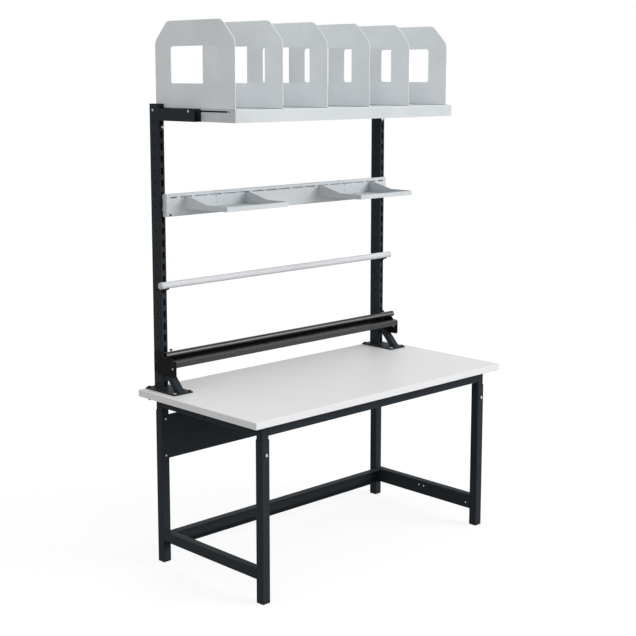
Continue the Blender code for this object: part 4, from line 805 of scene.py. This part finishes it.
class WORKBENCH_OT_frame_screws(bpy.types.Operator):
    """Screws the rear panel, the stringer and the side rails"""
    bl_idname = "workbench.frame_screws"
    bl_label = "Lower frame screws"

    def execute(self, context):
        places = context.scene.workbench_places
        low, high = node_box("rear_panel")
        leg_x = abs(node_middle("leg_rear_left").x)
        edge = places.panel_screw_inset
        bm = bmesh.new()
        for _, side in SIDES:
            for z in (low.z + edge, high.z - edge):
                round_screw(bm, context, (0, -1, 0), (side * leg_x, low.y - SEAT, z))
        piece("panel_screws", bm, "zinc_plate", "base")

        rail_low, rail_high = node_box("side_rail_right")
        face = rail_low.x
        joint_y = node_box("leg_rear_left")[0].y - places.rail_bolt_inset
        top_bolt = rail_high.z - places.rail_bolt_drop
        inner = node_box("stringer")[1].x - FRAME_SHEET
        for side_name, side in SIDES:
            bm = bmesh.new()
            for z in (top_bolt, top_bolt - places.rail_bolt_pitch):
                small_nut(bm, context, (side, 0, 0), (side * (face + FRAME_SHEET + SEAT), joint_y, z))
                small_nut(bm, context, (-side, 0, 0), (side * (inner - SEAT), joint_y, z))
            piece("stringer_bolts_" + side_name, bm, "black_oxide", "base")
            bm = bmesh.new()
            for reach in (-places.rail_mid_reach, places.rail_mid_reach):
                round_screw(bm, context, (-side, 0, 0),
                            (side * (face - SEAT), reach, rail_high.z - places.rail_mid_drop))
            piece("rail_screws_" + side_name, bm, "zinc_plate", "base")
        return {"FINISHED"}


class WORKBENCH_OT_top_screws(bpy.types.Operator):
    """Screws the tabletop to its beams from below"""
    bl_idname = "workbench.top_screws"
    bl_label = "Tabletop screws"

    def execute(self, context):
        pitch = context.scene.workbench_places.top_screw_pitch
        bm = bmesh.new()
        for node in ("front_apron", "rear_beam"):
            low, high = node_box(node)
            for x in (-pitch, 0.0, pitch):
                round_screw(bm, context, (0, 0, -1),
                            (x, (low.y + high.y) / 2, high.z - FRAME_SHEET - SEAT))
        piece("tabletop_screws", bm, "zinc_plate", "top")
        return {"FINISHED"}


class WORKBENCH_OT_shelf_fittings(bpy.types.Operator):
    """Black strips behind the shelf's depth slots as painted shade, end screws and divider screws of the
    shelf, and the arms' clamp screws
    """
    bl_idname = "workbench.shelf_fittings"
    bl_label = "Shelf fittings"

    def execute(self, context):
        places = context.scene.workbench_places
        sizes = context.scene.workbench_fasteners
        low, high = node_box("shelf")
        slot_y = low.y + places.slot_inset
        wall = high.x - SHELF_SHEET
        for side_name, side in SIDES:
            bm = bmesh.new()
            spot = (side * (wall - places.shade_strip_room), slot_y, high.z - SHELF_SHEET - SEAT)
            # Painted shade: a black strip behind each depth slot stands for the shadow inside the shelf
            angle_strip(bm, places.shade_strip_width, places.shade_strip_drop, places.shade_strip_sheet,
                        places.shade_strip_reach, corner_frame(spot, (side, 0, 0), (0, 1, 0)))
            piece("slot_guard_" + side_name, bm, "black_coat", "shelf")
            bm = bmesh.new()
            y = low.y + places.end_screw_inset
            z = high.z - places.end_screw_drop
            rod(bm, sizes.flush_head_radius, 0.0, SHELF_SHEET, SEAT,
                facing((side, 0, 0), (side * wall, y, z)))
            small_nut(bm, context, (-side, 0, 0), (side * (wall - SEAT), y, z))
            piece("shelf_end_screw_" + side_name, bm, "black_oxide", "shelf")
            arm = node_box("shelf_arm_" + side_name)[0]
            upright = node_middle("upright_" + side_name)
            front = node_box("upright_" + side_name)[0].y
            bm = bmesh.new()
            hexagon_head(bm, sizes.plate_bolt_across, sizes.plate_bolt_height,
                         facing((0, -1, 0), (upright.x - side * places.arm_screw_shift, front - SEAT,
                                             arm.z - places.arm_screw_drop)))
            piece("arm_screw_" + side_name, bm, "zinc_plate", "top")
        bm = bmesh.new()
        middle = (low.y + high.y) / 2
        for name in sorted(node for node in frame["nodes"] if node.startswith("divider_")):
            foot_low, foot_high = node_box(name)
            for reach in (-places.foot_screw_reach, places.foot_screw_reach):
                round_screw(bm, context, (0, 0, 1),
                            (foot_high.x - places.foot_screw_inset, middle + reach,
                             foot_low.z + DIVIDER_SHEET + SEAT))
        piece("divider_screws", bm, "zinc_plate", "shelf")
        return {"FINISHED"}


class WORKBENCH_OT_tray_rail_screws(bpy.types.Operator):
    """Screws the tray rail to the uprights"""
    bl_idname = "workbench.tray_rail_screws"
    bl_label = "Tray rail screws"

    def execute(self, context):
        places = context.scene.workbench_places
        low, high = node_box("tray_rail")
        reach = high.x - HOOK_SHEET - places.hang_screw_inset
        bm = bmesh.new()
        for _, side in SIDES:
            round_screw(bm, context, (0, -1, 0),
                        (side * reach, low.y - SEAT, low.z + places.hang_screw_raise))
        piece("tray_rail_screws", bm, "black_oxide", "top")
        return {"FINISHED"}


class WORKBENCH_OT_cutter_fittings(bpy.types.Operator):
    """Screws of the cutter's side plates, and the studs behind its bar"""
    bl_idname = "workbench.cutter_fittings"
    bl_label = "Cutter fittings"

    def execute(self, context):
        sizes = context.scene.workbench_fasteners
        places = context.scene.workbench_places
        rail_low, rail_high = node_box("cutting_rail")
        screw_y = rail_low.y + places.cut_screw_inset
        screw_z = rail_high.z - places.cut_screw_drop
        low_z = screw_z - places.cut_screw_pitch
        mount_y = node_middle("upright_left").y
        for side_name, side in SIDES:
            plate = "cutter_plate_" + side_name
            near, far = reach_x(plate)
            outer = far + SEAT
            inner = near - SEAT
            bright = bmesh.new()
            round_screw(bright, context, (side, 0, 0), (side * outer, screw_y, low_z))
            small_nut(bright, context, (-side, 0, 0), (side * inner, screw_y, low_z))
            piece("cutter_screws_" + side_name, bright, "zinc_plate", "top")
            dark = bmesh.new()
            round_screw(dark, context, (side, 0, 0), (side * outer, screw_y, screw_z))
            mount = node_box(plate)[0].z + places.cut_mount_low
            for z in (mount, mount + places.cut_mount_pitch):
                small_nut(dark, context, (side, 0, 0), (side * outer, mount_y, z))
            piece("cutter_bolts_" + side_name, dark, "black_oxide", "top")
        small = sizes.screw_radius * FACE_SCREW_SHARE
        bm = bmesh.new()
        for _, side in SIDES:
            first = rail_high.x - places.face_screw_inset
            for x in (first, first - places.face_screw_pitch):
                spot = (side * x, rail_low.y - SEAT, rail_high.z - places.face_screw_drop)
                socket_head(bm, small, small * FACE_SCREW_HEIGHT, small * FACE_SCREW_SOCKET,
                            small * FACE_SCREW_DEPTH, small * FACE_SCREW_DEPTH,
                            facing((0, -1, 0), spot))
        piece("cutting_rail_screws", bm, "black_oxide", "top")
        self.studs(sizes, places, rail_high.x)
        return {"FINISHED"}

    def studs(self, sizes, places, half):
        """Upright studs with nuts below and caps above the bar."""
        bar_low, bar_high = node_box("pressure_bar")
        floor = node_box("cutter_trough")[0].z + TROUGH_SHEET + SEAT
        y = bar_high.y + places.stud_room + sizes.stud_radius
        radius = sizes.stud_radius
        nut_top = bar_low.z - STUD_NUT_DROP
        cap = bar_high.z - STUD_CAP_SINK
        chamfer = radius * STUD_CHAMFER
        height = sizes.small_nut_height
        shanks = bmesh.new()
        caps = bmesh.new()
        for _, side in SIDES:
            x = side * (half - places.stud_inset)
            rod(caps, radius * STUD_SPACER, 0.0, nut_top - height - floor, chamfer,
                facing((0, 0, 1), (x, y, floor)))
            hexagon_head(caps, sizes.small_nut_across, height,
                         facing((0, 0, 1), (x, y, nut_top - height + SEAT)))
            rod(shanks, radius, 0.0, cap - nut_top - 2 * SEAT, chamfer,
                facing((0, 0, 1), (x, y, nut_top + 2 * SEAT)))
            hexagon_head(caps, sizes.small_nut_across * STUD_CAP_WIDTH, height * STUD_CAP_HEIGHT,
                         facing((0, 0, 1), (x, y, cap + SEAT)))
        piece("cutter_studs", shanks, "zinc_plate", "top")
        piece("cutter_stud_caps", caps, "black_oxide", "top")


class WORKBENCH_OT_welds(bpy.types.Operator):
    """Welds the uprights to their plates and the side rails to the legs"""
    bl_idname = "workbench.welds"
    bl_label = "Welds"

    def execute(self, context):
        leg = context.scene.workbench_fasteners.weld_leg
        seam = SEAM_RADIUS
        for side_name, side in SIDES:
            low, high = node_box("upright_" + side_name)
            top = node_box("base_plate_" + side_name)[1].z + SEAT
            length = high.y - low.y - 2 * WELD_END
            bm = bmesh.new()
            for sense, x in ((-1, low.x), (1, high.x)):
                spot = (x + sense * SEAT, low.y + WELD_END, top)
                weld(bm, leg, length, corner_frame(spot, (sense, 0, 0), (0, 1, 0)))
            spot = (low.x + WELD_END, high.y + SEAT, top)
            weld(bm, leg, high.x - low.x - 2 * WELD_END, corner_frame(spot, (0, 1, 0), (1, 0, 0)))
            piece("upright_welds_" + side_name, bm, "anthracite_coat", "top")
            low, high = node_box("side_rail_" + side_name)
            bm = bmesh.new()
            for row, sense in (("front", 1), ("rear", -1)):
                tube = "leg_" + row + "_" + side_name
                leg_low, leg_high = node_box(tube)
                y = leg_high.y + SEAT if sense > 0 else leg_low.y - SEAT
                spot = (low.x + WELD_END, y, high.z + SEAT)
                weld(bm, leg, high.x - low.x - 2 * WELD_END,
                     corner_frame(spot, (0, sense, 0), (1, 0, 0)))
                leg_face = reach_x(tube)[0]
                spot = (side * (leg_face + seam), y - sense * (SEAT + seam / 2), low.z + seam)
                rod(bm, seam, 0.0, high.z - low.z - 2 * seam, seam * SEAM_CHAMFER,
                    facing((0, 0, 1), spot))
            piece("rail_welds_" + side_name, bm, "anthracite_coat", "base")
        return {"FINISHED"}


class WORKBENCH_OT_stage(bpy.types.Operator):
    """Floor, lights and camera"""
    bl_idname = "workbench.stage"
    bl_label = "Studio"

    def execute(self, context):
        scene = context.scene
        stage = scene.workbench_stage
        self.floor(scene, stage)
        self.world(scene, stage)
        for name, setting, direction, spread_angle in LAMPS:
            self.lamp(scene, name, getattr(stage, setting), direction, spread_angle)
        self.camera(scene)
        scene.view_settings.view_transform = "Standard"
        return {"FINISHED"}

    def seen(self, tree):
        """One for rays from the camera, a reflection or a glass surface."""
        ray = add(tree, "ShaderNodeLightPath").outputs
        first = add(tree, "ShaderNodeMath", {0: ray["Is Camera Ray"], 1: ray["Is Glossy Ray"]},
                    operation="MAXIMUM")
        second = add(tree, "ShaderNodeMath", {0: first.outputs[0], 1: ray["Is Transmission Ray"]},
                     operation="MAXIMUM")
        return second.outputs[0]

    def floor(self, scene, stage):
        """Plain pale floor that keeps a soft shadow."""
        bm = bmesh.new()
        bmesh.ops.create_grid(bm, x_segments=1, y_segments=1, size=stage.floor_side / 2)
        mesh = bpy.data.meshes.new("floor")
        bm.to_mesh(mesh)
        bm.free()
        floor = bpy.data.objects.new("floor", mesh)
        scene.collection.objects.link(floor)
        material, tree = blank_material("floor_paint")
        tree.nodes.clear()
        matt = add(tree, "ShaderNodeBsdfDiffuse")
        matt.inputs["Color"].default_value = grey(stage.floor_bounce)
        shown = add(tree, "ShaderNodeBsdfDiffuse")
        shown.inputs["Color"].default_value = grey(stage.floor_share)
        glow = add(tree, "ShaderNodeEmission", strength=FLOOR_WHITE - stage.floor_share)
        both = add(tree, "ShaderNodeAddShader", {0: shown.outputs[0], 1: glow.outputs[0]})
        mix = add(tree, "ShaderNodeMixShader",
                  {0: self.seen(tree), 1: matt.outputs[0], 2: both.outputs[0]})
        add(tree, "ShaderNodeOutputMaterial", {"Surface": mix.outputs[0]})
        mesh.materials.append(material)

    def world(self, scene, stage):
        """White background, and an even light from all round."""
        world = bpy.data.worlds.new("studio")
        world.use_nodes = True
        tree = world.node_tree
        back = tree.nodes["Background"]
        back.inputs["Color"].default_value = grey(1.0)
        level = spread(tree, self.seen(tree), stage.ambient, 1.0, start=0.0, finish=1.0)
        tree.links.new(level, back.inputs["Strength"])
        scene.world = world

    def lamp(self, scene, name, strength, direction, spread_angle):
        """Wide soft light that comes from a direction."""
        data = bpy.data.lights.new(name, "SUN")
        data.energy = strength
        data.angle = math.radians(spread_angle)
        lamp = bpy.data.objects.new(name, data)
        lamp.matrix_world = facing(direction, Vector(direction) * LAMP_REACH)
        scene.collection.objects.link(lamp)

    def camera(self, scene):
        """Camera at the photograph's angle."""
        data = bpy.data.cameras.new("camera")
        data.sensor_width = CAMERA_SENSOR
        data.lens = CAMERA_LENS
        data.shift_x, data.shift_y = CAMERA_SHIFT
        camera = bpy.data.objects.new("camera", data)
        camera.location = CAMERA_PLACE
        camera.rotation_euler = (CAMERA_TILT, 0.0, CAMERA_HEADING)
        scene.collection.objects.link(camera)
        scene.camera = camera


class WORKBENCH_PT_steps(bpy.types.Panel):
    """Steps that build the bench"""
    bl_label = "Packing Workbench"
    bl_space_type = "VIEW_3D"
    bl_region_type = "UI"
    bl_category = "Workbench"

    def draw(self, context):
        layout = self.layout
        for step in STEPS:
            layout.operator(step.bl_idname)
        for group, _ in GROUPS:
            settings = getattr(context.scene, group)
            box = layout.box()
            for name in settings.__annotations__:
                box.prop(settings, name)


GROUPS = (
    ("workbench_finish", WorkbenchFinish),
    ("workbench_fasteners", WorkbenchFasteners),
    ("workbench_places", WorkbenchPlaces),
    ("workbench_stage", WorkbenchStage),
)
STEPS = (
    WORKBENCH_OT_frame_finish,
    WORKBENCH_OT_pale_finish,
    WORKBENCH_OT_worktop_finish,
    WORKBENCH_OT_cutter_finish,
    WORKBENCH_OT_bolt_finish,
    WORKBENCH_OT_pressure_bar,
    WORKBENCH_OT_spindle,
    WORKBENCH_OT_plate_bolts,
    WORKBENCH_OT_frame_screws,
    WORKBENCH_OT_top_screws,
    WORKBENCH_OT_shelf_fittings,
    WORKBENCH_OT_tray_rail_screws,
    WORKBENCH_OT_cutter_fittings,
    WORKBENCH_OT_welds,
    WORKBENCH_OT_stage,
)


def register():
    """Add the settings, the steps and the panel."""
    for name, group in GROUPS:
        bpy.utils.register_class(group)
        setattr(bpy.types.Scene, name, bpy.props.PointerProperty(type=group))
    for step in STEPS:
        bpy.utils.register_class(step)
    bpy.utils.register_class(WORKBENCH_PT_steps)


def unregister():
    """Take the panel, the steps and the settings away."""
    bpy.utils.unregister_class(WORKBENCH_PT_steps)
    for step in reversed(STEPS):
        bpy.utils.unregister_class(step)
    for name, group in reversed(GROUPS):
        delattr(bpy.types.Scene, name)
        bpy.utils.unregister_class(group)


def main():
    """Run every step in order."""
    register()
    for step in STEPS:
        name = step.bl_idname.partition(".")[2]
        getattr(bpy.ops.workbench, name)()


if __name__ == "__main__":
    main()
